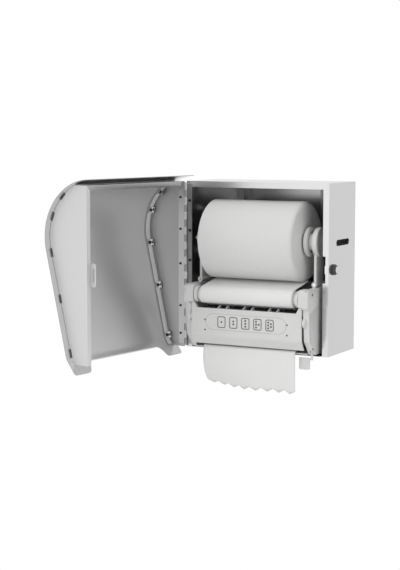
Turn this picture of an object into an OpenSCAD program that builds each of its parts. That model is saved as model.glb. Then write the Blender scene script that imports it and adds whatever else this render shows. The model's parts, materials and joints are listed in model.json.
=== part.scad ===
// Wall cabinet that feeds and cuts one paper towel at a time from a roll
// Millimetres. X to the right, Y into the wall, Z up, origin at the middle of the wall holes
// Sizes are written from the cabinet's bottom edge and wall face, then dropped by mount_h

/* [Cabinet] */
// Width of the cabinet
cab_w = 310; // [300:1:400]
// Height of the cabinet
cab_h = 335; // [325:1:420]
// Depth of the cabinet from the wall to its front flange
cab_d = 131.5; // [126:0.5:170]
// Thickness of the steel sheet
sheet_t = 1.2; // [0.8:0.1:1.6]
// Width of the front return flanges
flange_w = 12; // [9:0.5:14]
// Sideways distance between wall holes
wall_hole_dx = 224; // [210:1:280]
// Upright distance between wall holes
wall_hole_dz = 90; // [80:1:180]
// Height of the middle of the wall holes above the cabinet bottom
mount_h = 230; // [200:1:240]
// Radius of a wall hole
wall_hole_r = 3; // [2:0.1:4]
// Length of the sight slot in the right wall
sight_len = 64; // [30:1:80]
// Height of the sight slot
sight_h = 12; // [8:0.5:20]
// Sideways place of the back rails
rail_x = 94; // [80:1:105]
// Width of a back rail
rail_w = 16; // [10:0.5:24]
// Depth of a back rail
rail_d = 12.8; // [10:0.2:16]

/* [Hinge and cover] */
// Angle at which the cover stands open
open_deg = 97; // [0:1:130]
// Distance of the hinge axis in front of the cabinet flange
hinge_gap = 3; // [3:0.1:5]
// Outer radius of a hinge knuckle
knuckle_r = 2.7; // [2.2:0.1:2.8]
// Radius of the hinge pin
hinge_pin_r = 1.4; // [1:0.1:1.5]
// Length of one knuckle
knuckle_len = 14.6; // [10:0.1:20]
// Width of a hinge leaf
leaf_w = 14; // [10:0.5:18]
// Radius of the curved cover front
wrap_r = 107.6; // [100:0.2:120]
// Depth of the centre of that curve behind the cover rim
curve_back = 18; // [10:0.5:26]
// Height of the centre of that curve
curve_z = 237.5; // [220:0.5:250]
// Lean of the straight front from upright
lean_deg = 13.2; // [8:0.1:15]
// Height of the knee under the straight front
knee_z = 11.2; // [8:0.2:30]
// Lean of the front under the knee
chin_deg = 36.5; // [20:0.5:40]
// How far the feet reach below the cabinet
foot_drop = 17.5; // [12:0.5:26]
// Sideways overhang of the front past each cheek
overhang = 13; // [6:0.5:16]
// Width of a foot with its overhang
foot_w = 47; // [30:0.5:60]
// Height of the notch between the feet
notch_z = 2.6; // [-4:0.2:4]
// Width of the return flange round the cover rim
rim_w = 10; // [6:0.5:14]
// Width of the flange along the curved edge
edge_flange_w = 20; // [14:0.5:26]

/* [Lock] */
// Depth place of the lock
lock_y = -107; // [-110:0.5:-100]
// Height of the lock
lock_z = 168; // [160:0.5:176]
// Radius of the lock's outer flange
lock_flange_r = 10.75; // [10:0.25:14]
// Travel of the latch bolt
bolt_travel = 6; // [4:0.5:7]
// Height of the slotted tongue
tongue_h = 44; // [30:1:48]

/* [Towel] */
// Width of the towel
towel_w = 200; // [180:1:204]
// Radius of the full roll
roll_r = 78.5; // [50:0.5:80]
// Inner radius of the roll's core
core_r = 20; // [18:0.5:24]
// Height of the roll axis
roll_z = 220.5; // [215:0.5:230]
// Depth place of the roll axis
roll_y = -110; // [-115:0.5:-100]
// Thickness of the towel as modelled
paper_t = 0.4; // [0.3:0.1:0.5]
// Length of towel that hangs below the outlet
tail_drop = 62; // [30:1:120]
// Count of teeth on the torn edge
tear_teeth = 8; // [4:1:12]
// Depth of a tooth of the torn edge
tear_h = 7; // [3:0.5:10]

/* [Feed drum] */
// Radius of the drum over its grip bands
drum_r = 34; // [32:0.5:35]
// Radius of the drum shaft
shaft_r = 5; // [4:0.25:6]
// Radius of the idler roller
idler_r = 16.5; // [14:0.5:17]
// Radius of a pinch roller
pinch_r = 8; // [6:0.5:9]
// Distance of the outer drum grooves from the middle
groove_pitch = 55; // [45:1:60]
// Width of a drum groove
groove_w = 12; // [8:0.5:16]
// Travel of the knife out of the drum
knife_travel = 12; // [8:0.5:13]

/* [Dispensing module] */
// Half width of the module over its side covers
module_hw = 134; // [132:0.5:136]
// Depth of a side cover
side_cover_d = 7; // [6.5:0.25:8]
// Thickness of a side frame
frame_t = 5; // [3.5:0.25:6]
// Height of the module
module_h = 133; // [131:0.5:138]
// Half width of the front panel
panel_hw = 119.5; // [116:0.5:121]
// Wall of the front panel
panel_t = 3; // [2:0.25:4]
// Radius of a roll arm's head
arm_head_r = 28.5; // [24:0.5:30]
// Sideways place of a panel screw
panel_screw_x = 89; // [70:1:100]
// Tooth module of the lever gears
gear_m = 1.5; // [1.4:0.05:1.55]
// Teeth of a full circle of the lever sector
sector_n = 29; // [28:1:30]
// Teeth of the pinion
pinion_n = 14; // [13:1:15]
// Width of the feed tab
tab_w = 22; // [16:0.5:22]
// Drop of the feed tab below the cabinet
tab_drop = 24; // [18:0.5:30]

/* [Hidden] */
$fn = 64;

// Clearances
run_gap = 0.05;
seat_gap = 0.3;
free_gap = 1;
// Long enough to cut right through anything here
past = 1;
arc_steps = 24;

// Frame places
inner_hw = cab_w/2 - sheet_t;
front_y = -cab_d;
rim_y = front_y - hinge_gap;
hinge_out = 0.2;
hinge_x = -cab_w/2 - hinge_out;
free_x = cab_w/2;
knuckle_bore = hinge_pin_r + run_gap;
knuckle_step = 15;
knuckle_n = floor((cab_h - 2*sheet_t)/knuckle_step);
knuckle_z0 = (cab_h - knuckle_n*knuckle_step)/2;

// Finishes
steel = [0.80, 0.80, 0.81];
dull_steel = [0.62, 0.62, 0.63];
bright_steel = [0.88, 0.88, 0.89];
white_plastic = [0.91, 0.91, 0.90];
paper_white = [0.95, 0.95, 0.94];
dark_rubber = [0.24, 0.24, 0.25];
card = [0.72, 0.68, 0.62];

// Helpers: profiles are [y, z] points drawn out along X

function polar(c, r, a) = [c[0] + r*cos(a), c[1] + r*sin(a)];
function arc(c, r, a0, a1, n = arc_steps) = [for (i = [0:n]) polar(c, r, a0 + (a1 - a0)*i/n)];
function unit(v) = v/norm(v);
function turn(v) = [-v[1], v[0]];
function backwards(pts) = [for (i = [len(pts) - 1:-1:0]) pts[i]];

// Corner of an outline replaced by an arc of radius r
function fillet(a, p, b, r, n = 6) =
    let (u = unit(a - p), v = unit(b - p), half = acos(u*v)/2)
    let (c = p + unit(u + v)*r/sin(half), t0 = p + u*r/tan(half) - c, t1 = p + v*r/tan(half) - c)
    let (sweep = 180 - 2*half, side = (t0[0]*t1[1] - t0[1]*t1[0]) > 0 ? 1 : -1)
    [for (i = [0:n]) let (k = sweep*i/n) c + t0*cos(k) + side*turn(t0)*sin(k)];

// Outline whose corners are [y, z, radius]
function rounded(pts) = [
    for (i = [0:len(pts) - 1])
        let (n = len(pts), p = pts[i], a = pts[(i + n - 1) % n], b = pts[(i + 1) % n])
        each p[2] > 0
            ? fillet([a[0], a[1]], [p[0], p[1]], [b[0], b[1]], p[2])
            : [[p[0], p[1]]]
];

// Point where two lines, each a point and a direction, meet
function meet(p, d, q, e) = p + d*((q - p)*turn(e))/(d*turn(e));

// Outline moved inwards by w on every side, corners listed anticlockwise
function inset(pts, w) = [
    for (i = [0:len(pts) - 1])
        let (n = len(pts), a = pts[(i + n - 1) % n], p = pts[i], b = pts[(i + 1) % n])
        let (d = unit(p - a), e = unit(b - p))
        meet(p + turn(d)*w, d, p + turn(e)*w, e)
];

module on_wall() { translate([0, 0, -mount_h]) children(); }
module along_x(x0, x1) {
    translate([x0, 0, 0]) rotate([90, 0, 90]) linear_extrude(x1 - x0) children();
}
// Shape of [x, z] points drawn out along Y
module along_y(y0, y1) {
    translate([0, y1, 0]) rotate([90, 0, 0]) linear_extrude(y1 - y0) children();
}
module rod_x(r, x0, x1, at) {
    translate([x0, at[0], at[1]]) rotate([0, 90, 0]) cylinder(r = r, h = x1 - x0);
}
module rod_y(r, y0, y1, x, z) {
    translate([x, y0, z]) rotate([-90, 0, 0]) cylinder(r = r, h = y1 - y0);
}
module block(x, y, z) {
    translate([x[0], y[0], z[0]]) cube([x[1] - x[0], y[1] - y[0], z[1] - z[0]]);
}
// Two ends that lie w to each side of a
function about(a, w) = [a - w, a + w];
module both_sides() {
    children();
    mirror([1, 0, 0]) children();
}

// Cabinet

sight_y = -62.7;
sight_z = 218.4;
sight_ends = about(sight_y, (sight_len - sight_h)/2);
flange_x = cab_w/2 - flange_w;
notch_w = 5.5;
notch_h = 52;
latch_mid_z = lock_z + 1;

module cabinet_shell() {
    color(steel) on_wall() difference() {
        block([-cab_w/2, cab_w/2], [front_y, 0], [0, cab_h]);
        block([-inner_hw, inner_hw], [front_y + sheet_t, -sheet_t], [sheet_t, cab_h - sheet_t]);
        block([-flange_x, flange_x], [front_y - past, front_y + 2*sheet_t],
            [sheet_t, cab_h - flange_w]);
        for (y = sight_ends) rod_x(sight_h/2, inner_hw - past, cab_w/2 + past, [y, sight_z]);
        block([inner_hw - past, cab_w/2 + past], sight_ends, about(sight_z, sight_h/2));
        rod_x(lock_hole_r, inner_hw - past, cab_w/2 + past, lock_c);
        block([flange_x - past, flange_x + notch_w], [front_y - past, front_y + 2*sheet_t],
            about(latch_mid_z, notch_h/2));
        for (x = [-1, 1], z = [-1, 1])
            rod_y(wall_hole_r, -sheet_t - past, past, x*wall_hole_dx/2, mount_h + z*wall_hole_dz/2);
    }
}

rail_margin = 10;
module back_rails() {
    color(dull_steel) on_wall() for (side = [-1, 1]) difference() {
        block(about(side*rail_x, rail_w/2), [-sheet_t - rail_d, -sheet_t],
            [sheet_t + rail_margin, cab_h - sheet_t - rail_margin]);
        block(about(side*rail_x, rail_w/2 - sheet_t), [-rail_d, 0], [0, cab_h]);
    }
}

// Piano hinge, with knuckles that take turns between the two leaves

module knuckles(first) {
    for (i = [first:2:knuckle_n - 1])
        translate([hinge_x, rim_y, knuckle_z0 + i*knuckle_step + (knuckle_step - knuckle_len)/2])
            cylinder(r = knuckle_r, h = knuckle_len);
}
module knuckle_room(first, x, y) {
    for (i = [first:2:knuckle_n - 1])
        block(x, y, about(knuckle_z0 + (i + 0.5)*knuckle_step, knuckle_step/2 + seat_gap));
}
module hinge_bore() {
    translate([hinge_x, rim_y, -past]) cylinder(r = knuckle_bore, h = cab_h + 2*past);
}

leaf_margin = 6;
leaf_screw_zs = [296, 236, 176, 116, 56];
leaf_screw_r = 3;
leaf_screw_in = 8;
leaf_screw_x = hinge_x + leaf_screw_in;

module hinge_leaf_fixed() {
    color(dull_steel) on_wall() difference() {
        union() {
            block([hinge_x, hinge_x + flange_w], [front_y - sheet_t, front_y],
                [leaf_margin, cab_h - leaf_margin]);
            knuckles(0);
        }
        hinge_bore();
        knuckle_room(1, [hinge_x - past, hinge_x + knuckle_r + seat_gap],
            [front_y - sheet_t - past, front_y + past]);
    }
}
module hinge_pin() {
    color(bright_steel) on_wall() translate([hinge_x, rim_y, knuckle_z0])
        cylinder(r = hinge_pin_r, h = knuckle_n*knuckle_step);
}
module leaf_screws() {
    color(dull_steel) on_wall() for (z = leaf_screw_zs)
        rod_y(leaf_screw_r, front_y - 2*sheet_t, front_y - sheet_t, leaf_screw_x, z);
}

// Cover, drawn closed and then opened about the hinge

module opened() {
    on_wall() translate([hinge_x, rim_y, 0]) rotate([0, 0, -open_deg])
        translate([-hinge_x, -rim_y, 0]) children();
}

// Cover edge as a path of [depth, height] points, moved outwards by w
curve_c = [-curve_back, curve_z];
lean_n = [cos(lean_deg), -sin(lean_deg)];
chin_n = [cos(chin_deg), -sin(chin_deg)];
tangent_p = curve_c + wrap_r*lean_n;
knee = meet(tangent_p, turn(lean_n), [0, knee_z], [1, 0]);
function knee_at(w) = meet(knee + w*lean_n, turn(lean_n), knee + w*chin_n, turn(chin_n));
function chin_at(w, z) = meet(knee + w*chin_n, turn(chin_n), [0, z], [1, 0]);
function curve_top_deg(z, w) = asin((z - curve_z)/(wrap_r + w));
function edge_path(w, a_top, z_low) = concat(
    arc(curve_c, wrap_r + w, a_top, -lean_deg),
    [knee_at(w), chin_at(w, z_low)]);
function to_closed(pts) = [for (p = pts) [rim_y - p[0], p[1]]];
// Strip of sheet between two offsets of the cover edge
module edge_strip(w0, w1, a_top, z_low) {
    polygon(to_closed(concat(edge_path(w0, a_top, z_low), backwards(edge_path(w1, a_top, z_low)))));
}

wrap_gap = 0.4;
wrap_top_deg = 86;
cheek_top_deg = curve_top_deg(cab_h, 0);
foot_flare = 13;
foot_corner = 10;
notch_corner = 20;
foot_in = free_x + overhang - foot_w;
foot_z = -foot_drop;

// Front sheet, with the notch between its feet cut through
module front_wrap() {
    color(steel) opened() difference() {
        along_x(hinge_x - overhang, free_x + overhang)
            edge_strip(wrap_gap, wrap_gap + sheet_t, wrap_top_deg, foot_z);
        along_y(rim_y - cab_d, rim_y + past) polygon(rounded([
            [-foot_in + foot_flare, notch_z, notch_corner], [-foot_in, foot_z, foot_corner],
            [-foot_in, foot_z - foot_drop, 0], [foot_in, foot_z - foot_drop, 0],
            [foot_in, foot_z, foot_corner], [foot_in - foot_flare, notch_z, notch_corner]]));
    }
}

// Side plate of the cover: outline, then its curved flange
module cheek_plate(x0, x1, d0) {
    along_x(x0, x1) polygon(to_closed(concat(
        [[d0, 0], [d0, cab_h]], edge_path(0, cheek_top_deg, 0))));
}
flange_top_z = 322;
module cheek_flange(x0, x1) {
    along_x(x0, x1) edge_strip(-sheet_t, 0, curve_top_deg(flange_top_z, 0), sheet_t);
}

// Place on the cover edge at a height, with the angle of its normal
function edge_normal(z) =
    z > tangent_p[1] ? curve_top_deg(z, 0)
    : z > knee_z ? -lean_deg
    : -chin_deg;
function edge_depth(z) =
    z > tangent_p[1] ? curve_c[0] + wrap_r*cos(curve_top_deg(z, 0))
    : z > knee_z ? tangent_p[0] + (z - tangent_p[1])*tan(lean_deg)
    : knee[0] + (z - knee_z)*tan(chin_deg);
module at_edge(x, z) {
    translate([x, rim_y - edge_depth(z), z]) rotate([-edge_normal(z), 0, 0]) children();
}

clip_zs = [314, 276, 208, 122, 21];
clip_len = 13;
clip_w = 13;
clip_t = 1.6;
clip_lug = 5;
clip_bore_r = 2;
clip_bore_x = 7.8;
clip_inset = 4;
clip_lift = 0.25;
relief_len = 17;
relief_w = 3;
// Relief slots at the clips, along the cheek's curved edge
module relief_slots(x0, x1) {
    for (z = clip_zs) at_edge(0, z)
        block([x0 - past, x1 + past], [-past, relief_w], [-relief_len/2, relief_len/2]);
}

cheek_clear = 0.8;
cheek_hinge_d = knuckle_r + cheek_clear;
module hinge_cheek() {
    color(steel) opened() difference() {
        union() {
            cheek_plate(hinge_x, hinge_x + sheet_t, cheek_hinge_d);
            cheek_flange(hinge_x, hinge_x + edge_flange_w);
        }
        relief_slots(hinge_x, hinge_x + sheet_t);
    }
}
module free_cheek() {
    color(steel) opened() difference() {
        union() {
            cheek_plate(free_x - sheet_t, free_x, 0);
            cheek_flange(free_x - edge_flange_w, free_x);
            along_y(rim_y - sheet_t, rim_y) polygon([
                [free_x, 0], [free_x, cab_h], [free_x - rim_w, cab_h - rim_w], [free_x - rim_w, 0]]);
        }
        relief_slots(free_x - sheet_t, free_x);
    }
}
top_d = edge_depth(cab_h);
rim_low = cab_h - rim_w;
top_x0 = hinge_x + sheet_t;
top_x1 = free_x - sheet_t;
module cover_top() {
    color(steel) opened() union() {
        block([top_x0, top_x1], [rim_y - top_d, rim_y - cheek_hinge_d], [cab_h - sheet_t, cab_h]);
        difference() {
            block([top_x0 + leaf_w, top_x1], [rim_y - cheek_hinge_d - past, rim_y], [rim_low, cab_h]);
            block([top_x0, top_x1 + past], [rim_y - cheek_hinge_d - 2*past, rim_y - sheet_t],
                [rim_low - past, cab_h - sheet_t]);
            along_y(rim_y - cheek_hinge_d - 2*past, rim_y + past) polygon([
                [free_x, cab_h], [free_x - rim_w - past, rim_low - past], [free_x, rim_low - past]]);
        }
    }
}

module hinge_leaf_cover() {
    color(dull_steel) opened() difference() {
        union() {
            block([top_x0, top_x0 + sheet_t], [rim_y - leaf_w - knuckle_r, rim_y],
                [leaf_margin, rim_low - leaf_margin]);
            knuckles(1);
        }
        hinge_bore();
        knuckle_room(0, [hinge_x - past, top_x0 + 2*sheet_t],
            [rim_y - knuckle_r - seat_gap, rim_y + knuckle_r]);
    }
}
rivet_zs = [302.5, 238.6, 168.6, 83.4, 26.8];
rivet_r = 2.4;
rivet_d = 12;
module leaf_rivets() {
    color(dull_steel) opened() for (z = rivet_zs)
        rod_x(rivet_r, top_x0 + sheet_t, top_x0 + 2*sheet_t, [rim_y - rivet_d, z]);
}

// Clips that pull the front sheet onto the cheek flanges
module each_clip() {
    for (z = clip_zs) {
        at_edge(hinge_x + clip_inset, z) translate([0, sheet_t + clip_lift, 0]) children();
        at_edge(free_x - clip_inset - clip_w, z) translate([0, sheet_t + clip_lift, 0]) children();
    }
}
module wrap_clips() {
    color(bright_steel) opened() each_clip() difference() {
        union() {
            block([0, clip_w], [0, clip_t], [-clip_len/2, clip_len/2]);
            block([0, clip_t], [0, clip_lug], [-clip_len/2, clip_len/2]);
        }
        rod_y(clip_bore_r, -past, clip_t + past, clip_bore_x, 0);
    }
}
clip_screw_r = 3.2;
clip_screw_h = 2;
module clip_screws() {
    color(dull_steel) opened() each_clip() translate([clip_bore_x, 0, 0]) {
        rod_y(clip_screw_r, clip_t, clip_t + clip_screw_h, 0, 0);
        rod_y(clip_bore_r - run_gap, 0, clip_t + run_gap, 0, 0);
    }
}

tongue_t = 1.6;
tongue_out = 12;
tongue_back = 9;
tongue_slot_d = 5;
tongue_slot_h = 24;
tongue_slot_edge = 3;
tongue_corner = 4;
tongue_x = free_x - rim_w;
tongue_z = about(latch_mid_z, tongue_h/2);
module latch_tongue() {
    color(bright_steel) opened() difference() {
        along_x(tongue_x - tongue_t, tongue_x) polygon(rounded([
            [rim_y - tongue_back, tongue_z[0], 0], [rim_y + tongue_out, tongue_z[0], tongue_corner],
            [rim_y + tongue_out, tongue_z[1], tongue_corner], [rim_y - tongue_back, tongue_z[1], 0]]));
        block([tongue_x - tongue_t - past, tongue_x + past], about(bolt_y, tongue_slot_d/2),
            about(latch_mid_z, tongue_slot_h/2));
    }
}

// Lock and latch on the right wall

lock_body_r = 9;
lock_slack = 0.1;
lock_hole_r = lock_body_r + lock_slack;
plug_r = 6.5;
lock_flange_t = 4;
lock_nose_r = 8.5;
lock_nose_t = 3;
plug_proud = 0.6;
lock_nut_t = 4;
lock_nut_r = 13;
housing_t = 5.3;
housing_x = inner_hw - housing_t;
lock_thread = 1.5;
lock_in_x = housing_x - lock_nut_t - lock_thread;
bolt_y = rim_y + tongue_out - tongue_slot_edge - tongue_slot_d/2;
bolt_w = 4;
bolt_h = 16;
bolt_gap = 0.3;
bolt_t = 1.6;
bolt_through = 2.9;
bolt_x = tongue_x - tongue_t - bolt_through + bolt_travel;
bolt_reach = 15;
bolt_z = about(latch_mid_z, bolt_h/2);
housing_edge = 2;
housing_y = [front_y + sheet_t, lock_y + lock_nut_r + housing_edge];
housing_h = 40;
lock_c = [lock_y, lock_z];
flange_end = cab_w/2 + lock_flange_t;
nose_end = flange_end + lock_nose_t;

module lock_barrel() {
    color(bright_steel) on_wall() difference() {
        union() {
            rod_x(lock_flange_r, cab_w/2, flange_end, lock_c);
            rod_x(lock_nose_r, flange_end, nose_end, lock_c);
            rod_x(lock_body_r, lock_in_x, cab_w/2, lock_c);
        }
        rod_x(plug_r + run_gap, lock_in_x - past, nose_end + past, lock_c);
    }
}
module lock_nut() {
    color(dull_steel) on_wall() difference() {
        translate([housing_x - lock_nut_t, lock_y, lock_z]) rotate([0, 90, 0])
            cylinder(r = lock_nut_r, h = lock_nut_t, $fn = 6);
        rod_x(lock_hole_r, housing_x - lock_nut_t - past, housing_x + past, lock_c);
    }
}
module latch_housing() {
    color(dull_steel) on_wall() difference() {
        block([housing_x, inner_hw], housing_y, about(latch_mid_z, housing_h/2));
        block([housing_x - past, inner_hw - bolt_gap],
            [bolt_y - bolt_w/2 - bolt_gap, bolt_y + bolt_reach + bolt_gap],
            about(latch_mid_z, bolt_h/2 + bolt_gap));
        rod_x(lock_hole_r, housing_x - past, inner_hw + past, lock_c);
    }
}
key_w = 1.4;
key_len = 7;
key_deep = 4;
cam_t = 2;
module lock_plug() {
    color(bright_steel) on_wall() difference() {
        rod_x(plug_r, lock_in_x - cam_t, nose_end + plug_proud, lock_c);
        block([nose_end + plug_proud - key_deep, nose_end + plug_proud + past],
            about(lock_y, key_w/2), about(lock_z, key_len/2));
    }
}
// Finger that goes through the tongue, on a plate that the lock's cam pushes
module latch_bolt() {
    color(bright_steel) on_wall() union() {
        block([bolt_x, inner_hw - 2*bolt_gap], about(bolt_y, bolt_w/2), bolt_z);
        block([inner_hw - 2*bolt_gap - bolt_t, inner_hw - 2*bolt_gap],
            [bolt_y - bolt_w/2, bolt_y + bolt_reach - lock_body_r], bolt_z);
    }
}

// Dispensing module: places of the rollers as [y, z]

roll_c = [roll_y, roll_z];
drum_c = [-128, 52];
idler_c = [-165, 113.5];
pinch_deg = 45;
paper_gap = 0.3;
pinch_c = polar(drum_c, drum_r + paper_t + 2*paper_gap + pinch_r, pinch_deg);
lever_dir = 230.6;
lever_c = polar(drum_c, gear_m*(sector_n + pinion_n)/2, lever_dir);

cover_x = module_hw - side_cover_d;
frame_x = cover_x - frame_t;
module_low = 5;
module_back = -sheet_t - rail_d;
back_plate_t = 3;
frame_back = module_back - back_plate_t;
front_top = -182;
front_mid = -174.5;
front_low = -170;
chamfer_y = -147;
block_low = 98;
block_back = -150;
block_x = 114;
panel_top = 87;

// Side outline, anticlockwise from its low back corner, each with its corner radius
step_z = block_low - 5;
shoulder_z = panel_top - 3;
bevel_z = 33;
round_s = 4;
round_l = 8;
side_outline = [
    [frame_back, module_low, round_s], [frame_back, module_h, round_l],
    [front_top, module_h, round_l], [front_top, block_low, round_s],
    [front_mid, step_z, round_s/2], [front_mid, shoulder_z, 0],
    [front_low, bevel_z, round_s], [chamfer_y, module_low, round_s]];
side_corners = [for (p = side_outline) [p[0], p[1]]];

module module_back_plate() {
    color(white_plastic) on_wall()
        block([-cover_x, cover_x], [frame_back, module_back], [module_low, module_h]);
}

boss_r = 10.5;
boss_c = [-169, 69];
trunnion_r = 7;
bush_r = 8;
bearing_r = 6;
axle_r = 4;
lever_pin_r = 3;
pinch_shaft_r = 3;
arm_x = (frame_x + cover_x)/2;
arm_hw = 16.5;
arm_pin_r = 2.5;
lug_r = 5;
lug_t = 4;
lug_root = 3;
lug_y = [roll_y - arm_hw - free_gap - lug_t, roll_y + arm_hw + free_gap];
arm_pivot_z = module_h + lug_r + free_gap;
fit_gap = 0.02;

// Side frame with the idler block, arm lugs and bearing holes
module side_frame() {
    difference() {
        union() {
            along_x(frame_x, cover_x) polygon(rounded(side_outline));
            along_x(block_x, frame_x) polygon(rounded([
                [block_back, block_low, round_s], [block_back, module_h, round_s],
                [front_top, module_h, round_l], [front_top, block_low, round_s]]));
            rod_x(boss_r, frame_x, cover_x, boss_c);
            for (y = lug_y) {
                block([frame_x, cover_x], [y, y + lug_t], [module_h - lug_root, arm_pivot_z]);
                rod_y(lug_r, y, y + lug_t, arm_x, arm_pivot_z);
            }
        }
        rod_x(bush_r, block_x - past, cover_x + past, drum_c);
        rod_x(axle_r + fit_gap, block_x - past, cover_x + past, idler_c);
        rod_x(bearing_r, frame_x - past, cover_x + past, pinch_c);
        rod_y(arm_pin_r + fit_gap, lug_y[0] - past, lug_y[1] + lug_t + past, arm_x, arm_pivot_z);
    }
}
module left_frame() { color(white_plastic) on_wall() mirror([1, 0, 0]) side_frame(); }
module right_frame() {
    color(white_plastic) on_wall() difference() {
        side_frame();
        rod_x(lever_pin_r + fit_gap, frame_x - past, cover_x + past, lever_c);
    }
}

// Hollow side cover, open towards the frame
cover_wall = 2;
module side_cover() {
    difference() {
        along_x(cover_x, module_hw) polygon(rounded(side_outline));
        along_x(cover_x - past, module_hw - cover_wall)
            polygon(rounded([for (p = inset(side_corners, cover_wall)) [p[0], p[1], cover_wall/2]]));
    }
}
module left_side_cover() { color(white_plastic) on_wall() mirror([1, 0, 0]) side_cover(); }
lever_room = [-11, 22];
lever_room_z = 14;
module right_side_cover() {
    color(white_plastic) on_wall() difference() {
        side_cover();
        block([cover_x - past, module_hw - cover_wall],
            [lever_c[0] + lever_room[0], lever_c[0] + lever_room[1]], [0, lever_room_z]);
    }
}
side_screws = [[-160, 123], [-155, 17.7]];
screw_r = 2;
screw_proud = 0.6;
module side_cover_screws() {
    color(dull_steel) on_wall() both_sides()
        for (p = side_screws) rod_x(screw_r, module_hw, module_hw + screw_proud, p);
}

// Front panel: flat face, bevel under it, lip and ears above it
panel_y = -177;
panel_bend = 32;
panel_low = [-165.5, 15];
lip_d = 7;
bead_d = 1;
bead_h = 3.5;
bead_r = 0.9;
bend_r = 14;
ear_w = 8;
ear_slope = 4;
ear_top = 2;
ear_z = block_low - seat_gap;
panel_screws = [[panel_screw_x, 64], [panel_screw_x, 44]];
panel_hole_r = 1.8;
module front_cover() {
    color(white_plastic) on_wall() difference() {
        union() {
            along_x(-panel_hw, panel_hw) polygon(rounded([
                [panel_y - bead_d, panel_top, bead_r], [panel_y - bead_d, panel_top - bead_h, 0],
                [panel_y, panel_top - bead_h, 0], [panel_y, panel_bend, bend_r],
                [panel_low[0], panel_low[1], 0], [panel_low[0] + panel_t, panel_low[1], 0],
                [panel_y + panel_t, panel_bend + past, bend_r - panel_t],
                [panel_y + panel_t, panel_top - panel_t, 0],
                [panel_y + lip_d, panel_top - panel_t, 0], [panel_y + lip_d, panel_top, 0]]));
            both_sides() {
                along_y(panel_y, panel_y + lip_d) polygon([
                    [panel_hw - ear_w - ear_slope, panel_top], [panel_hw, panel_top],
                    [panel_hw, ear_z], [panel_hw - ear_w + ear_top, ear_z]]);
                rod_x(trunnion_r, panel_hw - ear_w, frame_x, boss_c);
            }
        }
        both_sides() for (p = panel_screws)
            rod_y(panel_hole_r, panel_y - past, panel_y + panel_t + past, p[0], p[1]);
        block([-panel_hw + ear_w, panel_hw - ear_w], [panel_y + panel_t + seat_gap, panel_y + 3*lip_d],
            [panel_bend, panel_top - panel_t]);
    }
}
screw_sunk = 0.8;
comb_bar_h = 14;
comb_z = 66;
comb_hw = 108;
module cover_screws() {
    color(dull_steel) on_wall() both_sides() for (p = panel_screws)
        rod_y(panel_hole_r - run_gap, panel_y + screw_sunk, panel_y + panel_t, p[0], p[1]);
}

// Fins that peel the towel off the drum, one on each side of every groove
fin_t = 2;
fin_space = 3;
fin_off = groove_w/2 + fin_space;
fin_xs = [for (g = [-1, 0, 1], e = [-1, 1]) g*groove_pitch + e*fin_off];
fin_profile = [
    [-170, comb_z], [-160, 76], [-156.5, 89.5], [-160, 92.5],
    [-169.6, 88.5], [-169.6, 80], [-170, 80]];
module guide_comb() {
    color(white_plastic) on_wall() union() {
        block([-comb_hw, comb_hw], [panel_y + panel_t, panel_y + lip_d], [comb_z, comb_z + comb_bar_h]);
        for (x = fin_xs) along_x(x - fin_t/2, x + fin_t/2) polygon(fin_profile);
    }
}
guide_z = 6;
guide_t = 2;
guide_y = [-156, -60];
module exit_guide() {
    color(white_plastic) on_wall() block([-frame_x, frame_x], guide_y, [guide_z, guide_z + guide_t]);
}

// Roll arms and the plugs that carry the core

arm_in = 0.5;
head_t = 9;
head_rim = 5.5;
web_t = 5;
head_x = [frame_x + arm_in, frame_x + arm_in + head_t];
arm_web_x = [head_x[0], head_x[0] + web_t];
barrel_r = 4.5;
module roll_arm(rim_x) {
    difference() {
        union() {
            rod_x(arm_head_r, head_x[0], rim_x, roll_c);
            block(arm_web_x, about(roll_y, arm_hw), [arm_pivot_z, roll_z]);
            rod_y(barrel_r, roll_y - arm_hw, roll_y + arm_hw, arm_x, arm_pivot_z);
        }
        if (rim_x > arm_web_x[1])
            rod_x(arm_head_r - head_rim, arm_web_x[1], rim_x + past, roll_c);
        rod_y(arm_pin_r + run_gap, lug_y[0], lug_y[1] + lug_t, arm_x, arm_pivot_z);
    }
}
left_boss_r = 3;
left_boss_x = 145;
module left_arm() {
    color(white_plastic) on_wall() mirror([1, 0, 0]) union() {
        roll_arm(arm_web_x[1]);
        rod_x(left_boss_r, head_x[0], left_boss_x, roll_c);
    }
}
module right_arm() { color(white_plastic) on_wall() roll_arm(head_x[1]); }

hub_r = 29;
hub_t = 6.5;
hub_cup_r = 21;
hub_neck_r = 17;
hub_floor = 2.5;
hub_off = 4.6;
plug_len = 13;
plug_taper = 6;
plug_slack = 0.7;
plug_body_r = core_r - plug_slack;
hub_x = towel_w/2 + hub_off;
module core_plug() {
    union() {
        difference() {
            rod_x(hub_r, hub_x, hub_x + hub_t, roll_c);
            rod_x(hub_cup_r, hub_x + hub_floor, hub_x + hub_t + past, roll_c);
        }
        rod_x(hub_neck_r, hub_x + hub_floor, head_x[0], roll_c);
        rod_x(plug_body_r, hub_x - plug_len + plug_taper, hub_x, roll_c);
        translate([hub_x - plug_len, roll_y, roll_z]) rotate([0, 90, 0])
            cylinder(r1 = plug_body_r - plug_taper, r2 = plug_body_r, h = plug_taper);
    }
}
module left_hub() { color(white_plastic) on_wall() mirror([1, 0, 0]) core_plug(); }
module right_hub() { color(white_plastic) on_wall() core_plug(); }
module arm_pin() { rod_y(arm_pin_r, lug_y[0], lug_y[1] + lug_t, arm_x, arm_pivot_z); }
module left_arm_pin() { color(bright_steel) on_wall() mirror([1, 0, 0]) arm_pin(); }
module right_arm_pin() { color(bright_steel) on_wall() arm_pin(); }

// Towel roll

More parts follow.
